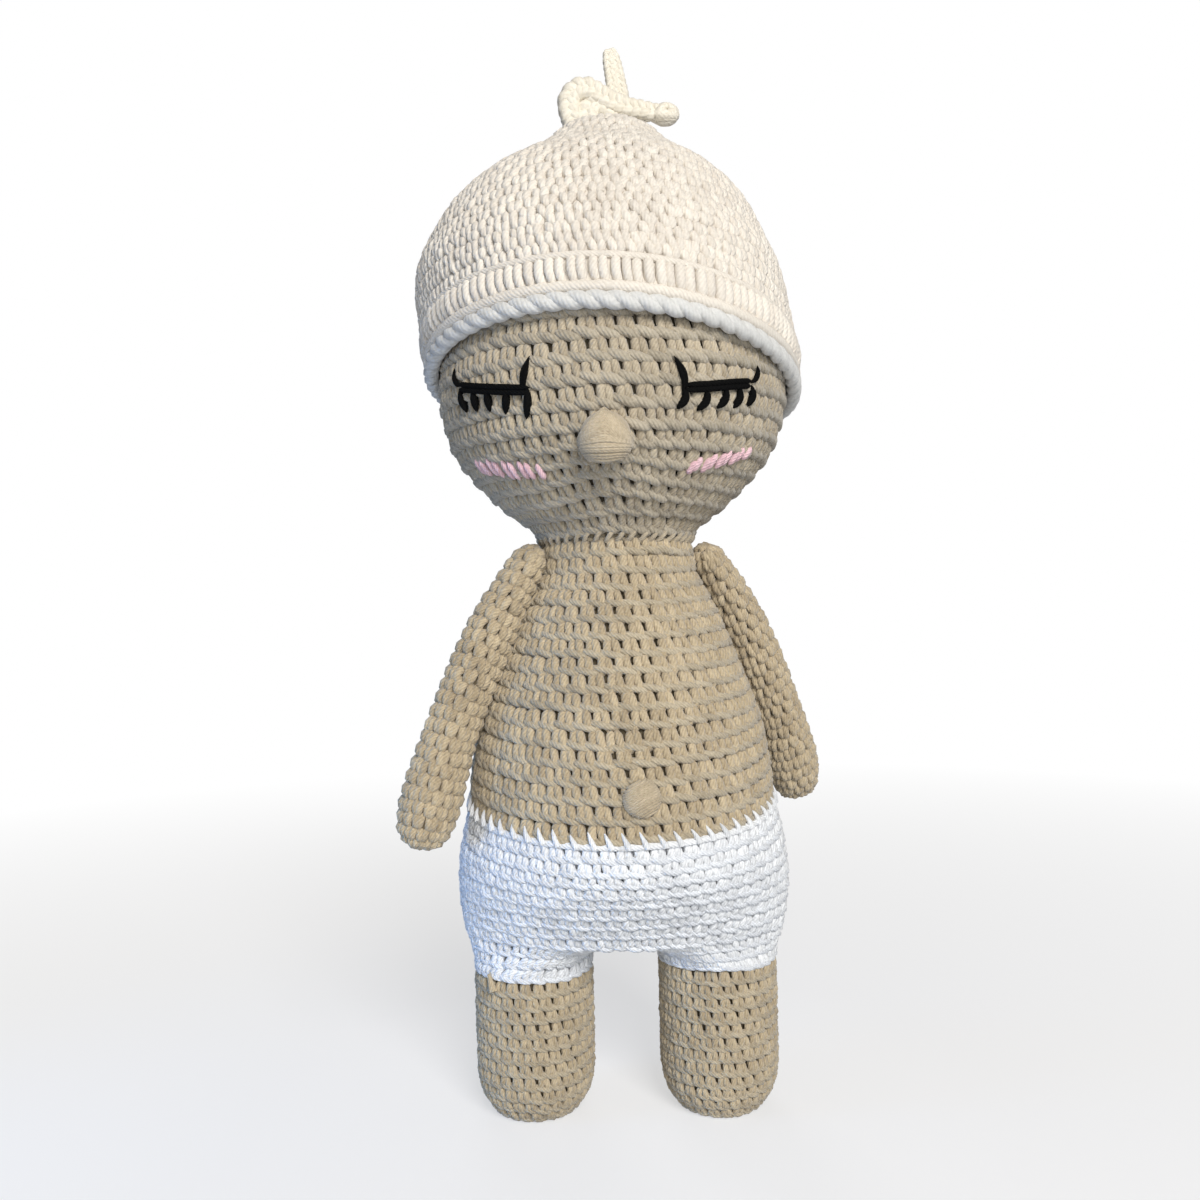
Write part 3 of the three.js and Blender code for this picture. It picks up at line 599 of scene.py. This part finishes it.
def yarn_material(name, dark, light, sheen=0.3, rough=0.85, bump=0.45, groove=0.25, gloss=0.3,
                  fibre=1.1):
    """Twisted yarn, whose colour the fine fibres change by fibre, and which groove darkens in the
    plies' grooves as painted shade.
    """
    material, tree = new_material(name)
    lay = node(tree, "ShaderNodeAttribute", attribute_name="lay")
    shade = node(tree, "ShaderNodeAttribute", attribute_name="shade")
    parts = node(tree, "ShaderNodeSeparateXYZ", i0=lay.outputs["Vector"])
    along = calc(tree, "MULTIPLY", parts.outputs[0], PLIES / PLY_PITCH)
    round_it = calc(tree, "MULTIPLY", parts.outputs[1], PLIES)
    phase = calc(tree, "MULTIPLY", calc(tree, "ADD", along, round_it), math.pi)
    ply = calc(tree, "ABSOLUTE", calc(tree, "SINE", phase))
    fine = noise(tree, FIBRE_SCALE)
    share = calc(tree, "MULTIPLY_ADD", shade.outputs["Fac"], SHADE_SHARE, SHADE_BASE)
    share = calc(tree, "MULTIPLY_ADD", noise(tree, PATCH_SCALE), PATCH_SHARE, share)
    share = calc(tree, "MULTIPLY_ADD", fine, fibre, share)
    # Painted shade: the colour is darker in the grooves between the plies
    share = calc(tree, "MULTIPLY_ADD", ply, groove, share)
    share = calc(tree, "SUBTRACT", share, (fibre + groove) / 2)
    set_bump(tree, calc(tree, "MULTIPLY_ADD", fine, 0.5, ply), bump)
    shader = set_colour(tree, share, dark, light, rough)
    shader.inputs["Sheen Weight"].default_value = sheen
    shader.inputs["Sheen Roughness"].default_value = 0.6
    shader.inputs["Specular IOR Level"].default_value = gloss
    return material


def painted_shade_backing_material(name, dark, light):
    """What shows between stitches: the yarn's shadowed inner side, as a darker colour that is painted
    shade.
    """
    material, tree = new_material(name)
    share = noise(tree, BEHIND_SCALE)
    set_colour(tree, share, dark, light, 0.95)
    set_bump(tree, share, 0.4)
    return material


beige = yarn_material("beige_yarn", (143, 126, 99), (200, 183, 152))
# The beige yarn again, darker and greyer, for the ridges: painted shade, as they face down
beige_ridge_shaded = yarn_material("beige_painted_shade_ridge_yarn", (140, 127, 105), (192, 179, 154))
# The beige yarn for the head, darker and greyer: painted shade under the hat
face_beige_shaded = yarn_material("face_painted_shade_yarn", (140, 126, 104), (190, 177, 153))
# The head's yarn again, darker and greyer, for its ridges: painted shade
face_ridge_shaded = yarn_material("face_painted_shade_ridge_yarn", (134, 124, 106), (184, 173, 153))
satin_beige = yarn_material("satin_beige_yarn", (152, 137, 112), (200, 184, 157), bump=0.25)
white = yarn_material("white_yarn", (196, 198, 201), (245, 246, 247))
# The white yarn again, darker and bluer, for the ridges: painted shade, as they face down
white_ridge_shaded = yarn_material("white_painted_shade_ridge_yarn", (186, 189, 195), (235, 238, 242))
ivory = yarn_material("ivory_yarn", (198, 188, 175), (232, 225, 213), bump=0.3, groove=0.2, fibre=0.8)
cream = yarn_material("cream_yarn", (208, 198, 178), (242, 237, 224), rough=0.6, bump=0.2, fibre=0.4)
edging = yarn_material("edging_yarn", (184, 183, 180), (214, 213, 209), bump=0.25, groove=0.15)
pink = yarn_material("pink_yarn", (196, 154, 161), (236, 200, 207))
black = yarn_material("black_yarn", (2, 2, 2), (9, 9, 9), sheen=0.0, gloss=0.12)
# The backings are coloured darker than their yarns: painted shade of the gaps between stitches
beige_shade_back = painted_shade_backing_material("beige_painted_shade_backing", (84, 74, 58), (110, 98, 76))
face_shade_back = painted_shade_backing_material("face_painted_shade_backing", (74, 66, 52), (98, 88, 70))
white_shade_back = painted_shade_backing_material("white_painted_shade_backing", (176, 178, 182), (204, 206, 210))
ivory_shade_back = painted_shade_backing_material("ivory_painted_shade_backing", (196, 188, 176), (216, 208, 197))


# The pieces

# Each one's row height and stitch width, in millimetres
GAUGE = {
    "torso": (4.35, 4.4), "pants": (3.75, 4.0), "hem": (2.8, 3.8), "leg": (3.25, 3.35),
    "arm": (3.3, 4.5), "head": (4.95, 4.5), "neck": (4.0, 4.2),
}
# The stitch width at the hand, and at the band and the crown of the hat
HAND_STITCH, BAND_STITCH, CROWN_STITCH = 3.7, 5.0, 4.3


def make_torso():
    yarn, (row, width) = Yarn(), GAUGE["torso"]
    rows = row_edges(trunk, WAIST_Z, SEAM_Z - 0.3, row)
    crochet(yarn, trunk, rows, width, "plain")
    backing(yarn, trunk, WAIST_Z - 1, SEAM_Z - 0.5)
    piece = yarn.build("torso_crochet", beige, beige_shade_back, beige_ridge_shaded)
    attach(piece, "torso")
    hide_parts("torso_skin", "body_filling")


# The white loops at the waist: the foot below it, the least and greatest top over it, the start and
# the lean in stitches, how far they stand off, their radius and their tip's, and how they taper
SPIKE_FOOT, SPIKE_TOPS = 0.9, (1.8, 2.7)
SPIKE_START, SPIKE_LEAN, SPIKE_LIFT = 0.22, 0.42, 0.35
SPIKE_R, SPIKE_TIP, TAPER = 0.74, 0.14, 0.7


def waist_spikes(yarn):
    """The last white row's loops, pulled up over the first beige row, and the line under them."""
    ring_strand(yarn, trunk, WAIST_Z - 0.7, 0.95, -0.25, shade=0.6)
    count = round(girth(trunk, WAIST_Z) / GAUGE["pants"][1])
    for j in range(count):
        turn = (j + rng.uniform(-0.08, 0.08)) / count
        rise = rng.uniform(*SPIKE_TOPS) + SPIKE_FOOT
        t = np.linspace(0, 1, 6)
        place = turn + (SPIKE_START - SPIKE_LEAN * t) / count
        point, normal = on(trunk, place, WAIST_Z - SPIKE_FOOT + rise * t)
        lift = SPIKE_LIFT * (1 + np.sin(np.pi * t))
        thick = SPIKE_R * (1 - t) ** TAPER + SPIKE_TIP
        yarn.thread(point + normal * lift[:, None], normal, thick, 7)


def make_pants():
    yarn, (row, width) = Yarn(), GAUGE["pants"]
    rows = row_edges(trunk, CROTCH_Z, WAIST_Z - 1.2, row, turn=0.2)
    crochet(yarn, trunk, rows, width, "close", drift=0.3)
    backing(yarn, trunk, CROTCH_Z + 1.5, WAIST_Z)
    waist_spikes(yarn)
    row, width = GAUGE["hem"]
    for side, hem in ((1, HEM_Z), (-1, HEM_Z - HEM_DROP)):
        surface = pants_leg(side)
        rows = np.linspace(hem, CROTCH_Z, round((CROTCH_Z - hem) / row) + 1)
        crochet(yarn, surface, rows, width, "close", height=3.0, lift=0.05)
        backing(yarn, surface, hem, CROTCH_Z, steps=10)
    piece = yarn.build("pants_crochet", white, white_shade_back, white_ridge_shaded)
    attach(piece, "torso")
    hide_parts("pants_skin")


# The run where the sole's first round starts, and the height that the sole's yarn is pressed to
FIRST_ROUND, FLOOR_GAP = 1.2, 0.2


def hem_spike(yarn, surface, top):
    """A beige loop pulled up over the white hem of the doll's right leg."""
    t = np.linspace(0, 1, 7)
    point, normal = on(surface, -0.121 + 0.018 * (1 - t), top - 2.2 + 4.6 * t)
    yarn.thread(point + normal * 0.75, normal, (1 - t) ** TAPER + 0.15, 7)


def make_leg(name, side):
    yarn, surface, (row, width) = Yarn(), leg(side), GAUGE["leg"]
    top = FOOT.length - (0.3 if side > 0 else HEM_DROP + 0.3)
    rows = np.linspace(FIRST_ROUND, top, round((top - FIRST_ROUND) / row) + 1)
    crochet(yarn, surface, rows, width, "foot", drift=0.55, wobble=0.1)
    backing(yarn, surface, FIRST_ROUND / 2, FOOT.length, around=48)
    sole_knot(yarn, side)
    if side < 0:
        hem_spike(yarn, surface, top)
    pressed = np.array([-math.inf, -math.inf, FLOOR_GAP])
    yarn.verts = [np.maximum(verts, pressed) for verts in yarn.verts]
    piece = yarn.build(f"{name}_leg_crochet", beige, beige_shade_back, beige_ridge_shaded)
    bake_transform(piece)
    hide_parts(f"{name}_leg_skin", f"{name}_leg_filling")


def sole_knot(yarn, side):
    """The ring of yarn that the sole's rounds start from."""
    turn = np.arange(20) / 20
    point, normal = on(leg(side), turn, 1.5)
    yarn.thread(point + normal * 0.1, normal, 0.8, closed=True)


def make_arm(name, side, **turns):
    yarn, surface, (row, width) = Yarn(), arm(side, **turns), GAUGE["arm"]
    rows = np.linspace(0.6, ARM.length - 0.4, round((ARM.length - 1.0) / row) + 1)

    def stitch_width(run):
        return lerp(HAND_STITCH, width, run / ARM.length)

    def lift(run):
        """The strands lie deep at the hand, where the run starts, and stand out at the top."""
        return lerp(-0.95, 0.6, smooth(run / ARM.length * 1.3 - 0.3))

    crochet(yarn, surface, rows, stitch_width, "lump", drift=0.5, wobble=0.2, lift=lift)
    backing(yarn, surface, 0.5, ARM.length - 0.2, around=36)
    knot = surface(np.arange(4) / 4, np.full(4, ARM.length - 0.2)).mean(0)
    wind_ball(yarn, knot, 2.0, 0.7, 6)
    piece = yarn.build(f"{name}_arm_crochet", beige, beige_shade_back)
    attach(piece, f"{name}_arm")
    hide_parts(f"{name}_arm_skin", f"{name}_arm_filling")


# Heights from the head's centre: a row's edge lies at the eyes, and the hat covers the rows above
EYE_HEIGHT, COVERED_HEIGHT = -6.5, 22


def make_head():
    yarn, (row, width) = Yarn(), GAUGE["head"]
    eye_run = HEAD.run_at(HEAD_Z + EYE_HEIGHT)
    pitch = eye_run / round(eye_run / row)
    rows = np.arange(0, HEAD.length - 1, pitch)
    shown = int(np.searchsorted(rows, HEAD.run_at(HEAD_Z + COVERED_HEIGHT)))
    crochet(yarn, head, rows[:shown + 1], width, "plain", drift=0.42, sides=(6, 6))
    crochet(yarn, head, rows[shown:], width, "plain", drift=0.42, sides=(4, 3))
    backing(yarn, head, 0, HEAD.length - 0.5, steps=42)
    piece = yarn.build("head_crochet", face_beige_shaded, face_shade_back, face_ridge_shaded)
    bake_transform(piece)
    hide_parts("head_skin", "head_filling")


def make_neck():
    yarn, (row, width) = Yarn(), GAUGE["neck"]
    crochet(yarn, neck, row_edges(neck, NECK_Z, NECK_Z + 13, row), width, "plain")
    backing(yarn, neck, NECK_Z - 2, NECK_Z + 14, depth=1.2, steps=10)
    piece = yarn.build("neck_crochet", beige, beige_shade_back, beige_ridge_shaded)
    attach(piece, "neck")
    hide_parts("neck_filling")


def make_neck_seam():
    """The head sewn on: short slanted strands over the groove below it."""
    yarn = Yarn()
    count = 44
    start = np.arange(count)[:, None] + rng.uniform(-0.1, 0.1, (count, 1))
    t = np.linspace(0, 1, 7)[None, :]
    turn = 2 * np.pi * (start + 0.75 * t) / count
    radius = 18.9 + 1.15 * np.sin(np.pi * t) + 0.5 * t + 0 * turn
    height = SEAM_Z - 1.4 + 3.0 * t + 0 * turn
    points = np.stack([radius * np.sin(turn), -radius * np.cos(turn), height], -1)
    normals = np.stack([np.sin(turn), -np.cos(turn), 0 * turn], -1)
    yarn.strands(points, normals, 0.62)
    piece = yarn.build("neck_sewing", face_beige_shaded)
    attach(piece, "neck")
    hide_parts("neck_seam")


def on_head(azimuth, height):
    """Points over the head, by degrees from its front towards its left and height over its centre."""
    run = HEAD.run_at(HEAD_Z + np.asarray(height, float))
    return on(head, np.asarray(azimuth, float) / 360, run)


def face_strand(yarn, spots, radius, lift, count, share, power=0.7):
    """One strand laid over the head, its ends rounded off over a share of its length."""
    line = spline(spots, count)[0]
    point, normal = on_head(line[:, 0], line[:, 1])
    yarn.thread(point + normal * lift, normal, radius * ended(count, share, power), 8)


# Eyes, as degrees round the head and millimetres over its centre; the corner is the nose-side line
EYES = {
    "right": dict(
        lid=[(-54.6, -3.2), (-46, -4.6), (-36, -5.9), (-25.2, -7.0)],
        corner=[(-27.3, -7.4), (-27.3, -5.0), (-26.4, -2.6), (-24.8, 0.3)],
        curl=[(-57.4, 1.4), (-57.2, -0.6), (-55.8, -2.3), (-53.0, -3.3)],
        lashes=[[(-53.6, -3.6), (-54.0, -6.4), (-52.8, -9.4)],
                [(-47.0, -4.4), (-47.5, -7.4), (-47.4, -9.9)],
                [(-41.0, -5.0), (-41.5, -8.0), (-41.4, -10.5)],
                [(-33.2, -6.0), (-34.4, -8.8), (-35.3, -11.6)],
                [(-26.2, -6.4), (-26.9, -10.0), (-28.0, -13.2)]],
    ),
    "left": dict(
        lid=[(20.4, -7.5), (28, -6.9), (36, -6.0), (45.2, -5.0)],
        corner=[(20.4, -9.0), (20.5, -6.4), (19.2, -3.6), (16.9, -0.9)],
        curl=[(47.9, -0.8), (48.2, -2.2), (47.2, -3.8), (44.9, -5.0)],
        lashes=[[(20.6, -7.6), (21.0, -9.9), (18.6, -12.2)],
                [(28.0, -7.2), (28.2, -10.0), (25.2, -12.4)],
                [(34.8, -6.6), (35.2, -9.2), (32.2, -11.6)],
                [(40.2, -6.0), (41.0, -8.8), (38.3, -11.2)],
                [(45.4, -5.4), (46.8, -7.8), (45.0, -10.3)]],
    ),
}
# A lid's two strands, up and down from it, and a corner's two, to both sides of it; their radii
LID_LINES, CORNER_LINES = (-0.6, 0.5), (-0.5, 0.5)
LID_R, CURL_R, LASH_R = 0.74, 0.7, 1.02


def make_eye(name):
    yarn, eye = Yarn(), EYES[name]
    for offset in LID_LINES:
        face_strand(yarn, [(a, h + offset) for a, h in eye["lid"]], LID_R, 0.95, 24, 0.12)
    bottom, *upper, top = eye["corner"]
    for shift in CORNER_LINES:
        spots = [(bottom[0] + shift, bottom[1]), *[(a + shift * 0.8, h) for a, h in upper], top]
        face_strand(yarn, spots, LID_R, 1.0, 18, 0.8)
    face_strand(yarn, eye["curl"], CURL_R, 0.95, 16, 0.5)
    for lash in eye["lashes"]:
        face_strand(yarn, lash, LASH_R, 0.8, 14, 0.5, power=0.6)
    piece = yarn.build(f"{name}_eye_yarn", black)
    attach(piece, "head")
    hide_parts(f"{name}_eye_stitches")


CHEEK_STRANDS = 9


def make_cheek(name, inner, outer, tops, length, lean):
    """Strands laid over one row of stitches; heights go from the nose side to the outer side."""
    yarn = Yarn()
    for j in range(CHEEK_STRANDS):
        share = j / (CHEEK_STRANDS - 1)
        azimuth = lerp(inner, outer, share) + 0.5 * math.cos(math.pi * j)
        top = lerp(*tops, share) + rng.uniform(-0.25, 0.25)
        low = top - length * (0.84 + 0.16 * math.sin(math.pi * share))
        spots = [(azimuth, top), (azimuth + lean * 0.45, (top + low) / 2), (azimuth + lean, low)]
        face_strand(yarn, spots, 0.84, 0.55, 9, 0.3)
    piece = yarn.build(f"{name}_cheek_yarn", pink)
    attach(piece, "head")
    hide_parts(f"{name}_cheek_stitches")


def wind_ball(yarn, centre, radius, thick, turns, squash=(1, 1, 1)):
    """Yarn wound round a ball, each turn about its own axis."""
    t = np.arange(28) / 28 * 2 * np.pi
    for k in range(turns):
        axis = unit(rng.normal(0, 1, 3))
        side = unit(np.cross(axis, (0.3, 0.5, 0.8)))
        out = np.outer(np.cos(t), side) + np.outer(np.sin(t), np.cross(axis, side))
        points = centre + (out + axis * rng.uniform(-0.25, 0.25)) * (radius - thick) * np.array(squash)
        yarn.thread(points, unit(points - centre), thick, closed=True)


def facing(angle):
    """Directions at an angle round the doll: outwards, towards the doll's left, and up."""
    c, s = math.cos(angle), math.sin(angle)
    return np.array([s, -c, 0]), np.array([c, s, 0]), np.array([0, 0, 1.0])


def dome_core(yarn, centre, axes, radius, depth, back=0.0):
    """A smooth core under laid strands; depth is how far it stands out, and back closes it behind."""
    out, right, up = axes
    ring = np.linspace(-back, 1, 9)[:, None]
    angle = np.arange(28)[None, :] / 28 * 2 * np.pi
    across = np.cos(ring * np.pi / 2) * radius
    grid = centre + (
        (across * np.cos(angle))[..., None] * right + (across * np.sin(angle))[..., None] * up
        + (np.sin(ring * np.pi / 2) * depth + 0 * angle)[..., None] * out)
    yarn.sheet(grid)


# The nose's height over the head's centre, how far out its own lies, its radius and strand count,
# and how much wider and higher than a ball it is
NOSE_HEIGHT, NOSE_OUT, NOSE_R, NOSE_STRANDS = -18.9, 2.2, 5.85, 20
NOSE_SHAPE = np.array([1.04, 1, 1.08])


def make_nose():
    """Yarn wound over a ball, in strands that fan out from a point at the top of it."""
    yarn = Yarn()
    axes = out, right, up = facing(FACE_TURN)
    centre = on(head, FACE_TURN / (2 * np.pi), HEAD.run_at(HEAD_Z + NOSE_HEIGHT))[0] + out * NOSE_OUT
    dome_core(yarn, centre, axes, NOSE_R, NOSE_R, back=1.0)
    bend = np.linspace(-2.0, 2.0, 23)
    x = np.where(np.abs(bend) < np.pi / 2, np.sin(bend), np.sign(bend))
    for k in range(NOSE_STRANDS):
        share = k / (NOSE_STRANDS - 1)
        peak = lerp(0.93, -0.9, share ** 0.9)
        slope = lerp(1.25, 0.0, smooth(share / 0.8))
        height = peak - slope * (np.sqrt(x ** 2 + 0.02) - 0.14) + 0.1 * share * x ** 2
        height = np.clip(height + rng.normal(0, 0.012), -0.97, 0.97)
        reach = np.sqrt(np.maximum(1 - height ** 2, 0.02))
        across, depth = np.sin(bend) * reach, np.cos(bend) * reach
        direction = across[:, None] * right + height[:, None] * up + depth[:, None] * out
        yarn.thread(centre + direction * NOSE_R * NOSE_SHAPE, unit(direction), 0.5)
    piece = yarn.build("nose_yarn", satin_beige, satin_beige)
    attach(piece, "head")
    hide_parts("nose")


# The belly button's place across and over the waist, its radius, rise, strands and their slant
BELLY_X, BELLY_UP, BELLY_R, BELLY_RISE, BELLY_STRANDS = 4.0, 5.2, 4.2, 2.3, 15
BELLY_SLANT = math.radians(28)


def make_belly_button():
    """A low boss under strands laid side by side across it."""
    yarn = Yarn()
    height = WAIST_Z + BELLY_UP
    wide, deep = float(half_width(height)), float(half_depth(height))
    depth = deep * math.sqrt(1 - (BELLY_X / wide) ** 2)
    axes = out, right, up = facing(math.atan2(BELLY_X, depth))
    centre = np.array([BELLY_X, -depth, height]) + out * 0.2
    dome_core(yarn, centre, axes, BELLY_R - 0.2, BELLY_RISE - 0.35)
    along = right * math.cos(BELLY_SLANT) + up * math.sin(BELLY_SLANT)
    beside = -right * math.sin(BELLY_SLANT) + up * math.cos(BELLY_SLANT)
    x = np.linspace(-1, 1, 15)
    for k in range(BELLY_STRANDS):
        off = lerp(-0.92, 0.92, k / (BELLY_STRANDS - 1))
        a = x * math.sqrt(1 - off ** 2)
        b = off + 0.14 * (1 - x ** 2) * math.cos(math.pi * off / 2)
        lift = np.maximum(1 - a ** 2 - b ** 2, 0) ** 0.45
        points = centre + BELLY_R * (np.outer(a, along) + np.outer(b, beside))
        yarn.thread(points + np.outer(lift * BELLY_RISE, out), out, 0.42)
    piece = yarn.build("belly_button_yarn", satin_beige, satin_beige)
    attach(piece, "torso")
    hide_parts("belly_button")


# Runs up the hat: the foot and the top of the band of posts, and the first row over it
BAND_FOOT, BAND, CROWN_FOOT, CROWN_ROWS = 1.1, 7.6, 8.6, 25
# The rope edging's radius round the hat, its height and stitches, and how far inside its normals start
EDGING_R, EDGING_Z, EDGING_STITCHES, EDGING_INSIDE = 47.25, HAT_DROP + 2.75, 64, -6


def eyelets(turn):
    """The band's posts are drawn together at the doll's front, which opens gaps between them."""
    off = (turn + 0.5) % 1 - 0.5
    return 1.05 - 0.1 * np.exp(-((off + 0.01) / 0.08) ** 4)


def edging_line(turn, up=0.0, out=0.0):
    return in_hat(around(EDGING_R + out, turn, EDGING_Z + up))


def edging_strand(yarn, turn, up, out, radius, **options):
    points = edging_line(turn, up, out)
    normals = unit(points - edging_line(turn, 0, EDGING_INSIDE))
    yarn.thread(points, normals, radius, 8, closed=True, **options)


def make_hat():
    """A band of posts with a smooth strand below and above it, and a crown of short stitches."""
    yarn = Yarn()
    crochet(yarn, hat, [BAND_FOOT, BAND], BAND_STITCH, "post", pinch=eyelets, wobble=0.05)
    turn = np.arange(220) / 220
    edging_strand(yarn, turn, 2.6 + 0.12 * np.sin(turn * 400), 0.3, 1.35)
    ring_strand(yarn, hat, BAND + 0.4, 0.9, -0.5)
    rows = np.linspace(CROWN_FOOT, HAT.length - 0.8, CROWN_ROWS + 1)
    crochet(yarn, hat, rows, CROWN_STITCH, "cell", sides=(6, 5), wobble=0.3)
    backing(yarn, hat, 0.2, HAT.length - 0.3, depth=0.85, steps=60)
    piece = yarn.build("hat_crochet", ivory, ivory_shade_back)
    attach(piece, "hat")
    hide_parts("hat_crown")


def make_edging():
    """A rope of two strands."""
    yarn = Yarn()
    turn = np.arange(EDGING_STITCHES * 7) / (EDGING_STITCHES * 7)
    for strand in range(2):
        twist = 2 * np.pi * (turn * EDGING_STITCHES / 2 + strand / 2)
        up, out = 0.72 * np.cos(twist) - 0.4, 0.5 * np.sin(twist) - 0.3
        edging_strand(yarn, turn, up, out, 1.6, shade=[0.45 + 0.1 * strand])
    piece = yarn.build("hat_rope", edging)
    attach(piece, "hat")
    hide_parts("hat_edging")


# The hat's peak, where the tuft starts; the tuft's spots are (across, up) from it
PEAK = 72.7
TUFT = np.array([4.5, -PEAK * math.sin(HAT_TILT), HEAD_Z + PEAK * math.cos(HAT_TILT)])
CURL_SPOTS = [(-12.42, -1.37), (-14.31, 6.53), (-9.99, 10.1), (-3.1, 6.34), (1.35, 4.56),
              (5.25, 3.77), (11.0, 2.6)]
INNER_SPOTS = [(-7.6, -1.2), (-9.4, 3.2), (-6.8, 6.0), (-3.0, 4.2), (0.8, 1.8)]
CURL_END = TUFT + np.array([11.5, -1.3, 2.6])


def braid(yarn, spots, depth, radii, lap, steps=70):
    """Three strands plaited along a line in the tuft's plane, which cross over once a lap."""
    line, length = spline([(x, depth, z) for x, z in spots], steps)
    line = line + TUFT
    tangent = unit(np.gradient(line, axis=0))
    out = np.array([0.0, 1.0, 0.0])
    side = unit(np.cross(tangent, out))
    t = np.linspace(0, 1, steps)
    radius = np.interp(t, np.linspace(0, 1, len(radii)), radii) * ended(steps, 0.06, 0.5)
    for strand in range(3):
        turn = 2 * np.pi * (t * length / lap + strand / 3)
        offset = side * (0.5 * np.sin(turn))[:, None] + out * (0.34 * np.sin(2 * turn))[:, None]
        yarn.thread(line + offset * radius[:, None], -out, 0.53 * radius, 8, shade=[0.3 + 0.2 * strand])


def make_tuft():
    """The curl, its inner turn and its ball end, and the upright stub of two plaits side by side."""
    cord = Yarn()
    braid(cord, CURL_SPOTS, -1.3, [3.0, 3.0, 3.1, 3.0, 2.9, 2.7, 2.3], 6.5, steps=110)
    braid(cord, INNER_SPOTS, -0.5, [3.3, 3.2, 3.0, 2.6], 6.0)
    wind_ball(cord, CURL_END, 3.2, 1.1, 10, squash=(1.4, 1, 0.95))
    piece = cord.build("hat_cord_yarn", cream)
    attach(piece, "hat")
    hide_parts("hat_cord")
    stem = Yarn()
    for side in (-1, 1):
        spots = [(side * 1.25 + 0.2, -5.0), (side * 1.2 - 0.5, 7), (side * 1.05 - 1.4, 14),
                 (side * 0.9 - 2.4, 20), (-2.9, 22.9)]
        braid(stem, spots, 3.4, [2.1, 2.0, 1.8, 1.45], 5.0)
    piece = stem.build("hat_stem_yarn", cream)
    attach(piece, "hat")
    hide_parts("hat_stem")


make_torso()
make_pants()
for leg_name, leg_side in (("left", 1), ("right", -1)):
    make_leg(leg_name, leg_side)
make_arm("right", -1, forward=20)
make_arm("left", 1, forward=-5, back=-18, out=1)
make_head()
make_neck()
make_neck_seam()
make_eye("right")
make_eye("left")
make_cheek("right", -30.6, -60.2, (-22.6, -19.4), 4.3, 1.0)
make_cheek("left", 29.6, 54.0, (-22.6, -18.6), 3.5, -1.4)
make_nose()
make_belly_button()
make_hat()
make_edging()
make_tuft()


# Floor, light and camera

# The floor's colour as it lights the doll and as seen, and how it fades to plain white: the distance
# and the share of white, from and to
FLOOR_CAST, FLOOR_SEEN = (198, 201, 206), (238, 238, 240)
FADE_FROM, FADE_TO = (0.1, 0.55), (0.6, 1.0)
AMBIENT = 0.11
CAMERA_PLACE, CAMERA_ROLL, SENSOR, LENS = (-4.5, -289, 132), math.radians(1.36), 36, 33
# Each light's place and target in metres, its size, power and colour, and its spread in degrees
LIGHTS = {
    "key": ((0.26, -0.88, 0.62), (0, 0, 0.15), 0.45, 10.4, (1.0, 0.98, 0.95)),
    "fill": ((0.05, -0.7, 0.02), (0, 0, 0.06), 0.4, 2.1, (0.92, 0.96, 1.0)),
    "side": ((-0.34, -0.08, 0.07), (0, 0, 0.05), 0.1, 0.075, (0.12, 0.42, 1.0), 75),
    "top": ((0.1, 0.25, 0.95), (0, 0, 0.15), 0.5, 0.9, (1.0, 0.98, 0.95)),
    "back": ((-0.2, 0.85, 0.3), (0, 0, 0.13), 0.5, 2.2, (1.0, 0.99, 0.97)),
}


def make_floor():
    bpy.ops.mesh.primitive_plane_add(size=12)
    floor = bpy.context.object
    floor.name = "floor"
    material, tree = new_material("floor")
    seen = node(tree, "ShaderNodeLightPath").outputs["Is Camera Ray"]
    shader = set_colour(tree, seen, FLOOR_CAST, FLOOR_SEEN, 0.9)
    place = node(tree, "ShaderNodeTexCoord")
    away = node(tree, "ShaderNodeVectorMath", operation="LENGTH", i0=place.outputs["Object"])
    far = node(tree, "ShaderNodeMapRange", Value=away.outputs["Value"], From_Min=FADE_FROM[0],
               From_Max=FADE_TO[0], To_Min=FADE_FROM[1], To_Max=FADE_TO[1])
    glow = node(tree, "ShaderNodeEmission", Strength=1.0)
    mix = node(tree, "ShaderNodeMixShader", i0=calc(tree, "MULTIPLY", far.outputs[0], seen),
               i1=shader.outputs[0], i2=glow.outputs[0])
    tree.links.new(mix.outputs[0], tree.nodes["Material Output"].inputs["Surface"])
    floor.data.materials.append(material)


def area_light(name, place, target, size, power, colour, spread=180):
    light = bpy.data.lights.new(name, "AREA")
    light.spread = math.radians(spread)
    light.size = size
    light.energy = power
    light.color = colour
    obj = link(name, light)
    obj.location = place
    obj.rotation_euler = (Vector(target) - Vector(place)).to_track_quat("-Z", "Y").to_euler()


def make_world():
    """A weak even light, which the camera sees as plain white."""
    world = bpy.data.worlds.new("world")
    bpy.context.scene.world = world
    world.use_nodes = True
    tree = world.node_tree
    soft = tree.nodes["Background"]
    soft.inputs["Color"].default_value = (1, 1, 1, 1)
    soft.inputs["Strength"].default_value = AMBIENT
    plain = node(tree, "ShaderNodeBackground", Color=(1, 1, 1, 1), Strength=1.0)
    path = node(tree, "ShaderNodeLightPath")
    mix = node(tree, "ShaderNodeMixShader", i0=path.outputs["Is Camera Ray"], i1=soft.outputs[0],
               i2=plain.outputs[0])
    tree.links.new(mix.outputs[0], tree.nodes["World Output"].inputs["Surface"])


def make_camera():
    data = bpy.data.cameras.new("camera")
    data.sensor_width = SENSOR
    data.lens = LENS
    camera = link("camera", data)
    right = Vector((math.cos(CAMERA_ROLL), 0, -math.sin(CAMERA_ROLL)))
    up = Vector((math.sin(CAMERA_ROLL), 0, math.cos(CAMERA_ROLL)))
    turn = Matrix((right, up, Vector((0, -1, 0)))).transposed()
    place = Vector(np.array(CAMERA_PLACE) * MM + SHIFT)
    camera.matrix_world = Matrix.Translation(place) @ turn.to_4x4()
    bpy.context.scene.camera = camera


make_floor()
make_world()
for light_name, light_values in LIGHTS.items():
    area_light(light_name, *light_values)
make_camera()
bpy.context.scene.view_settings.view_transform = "Standard"
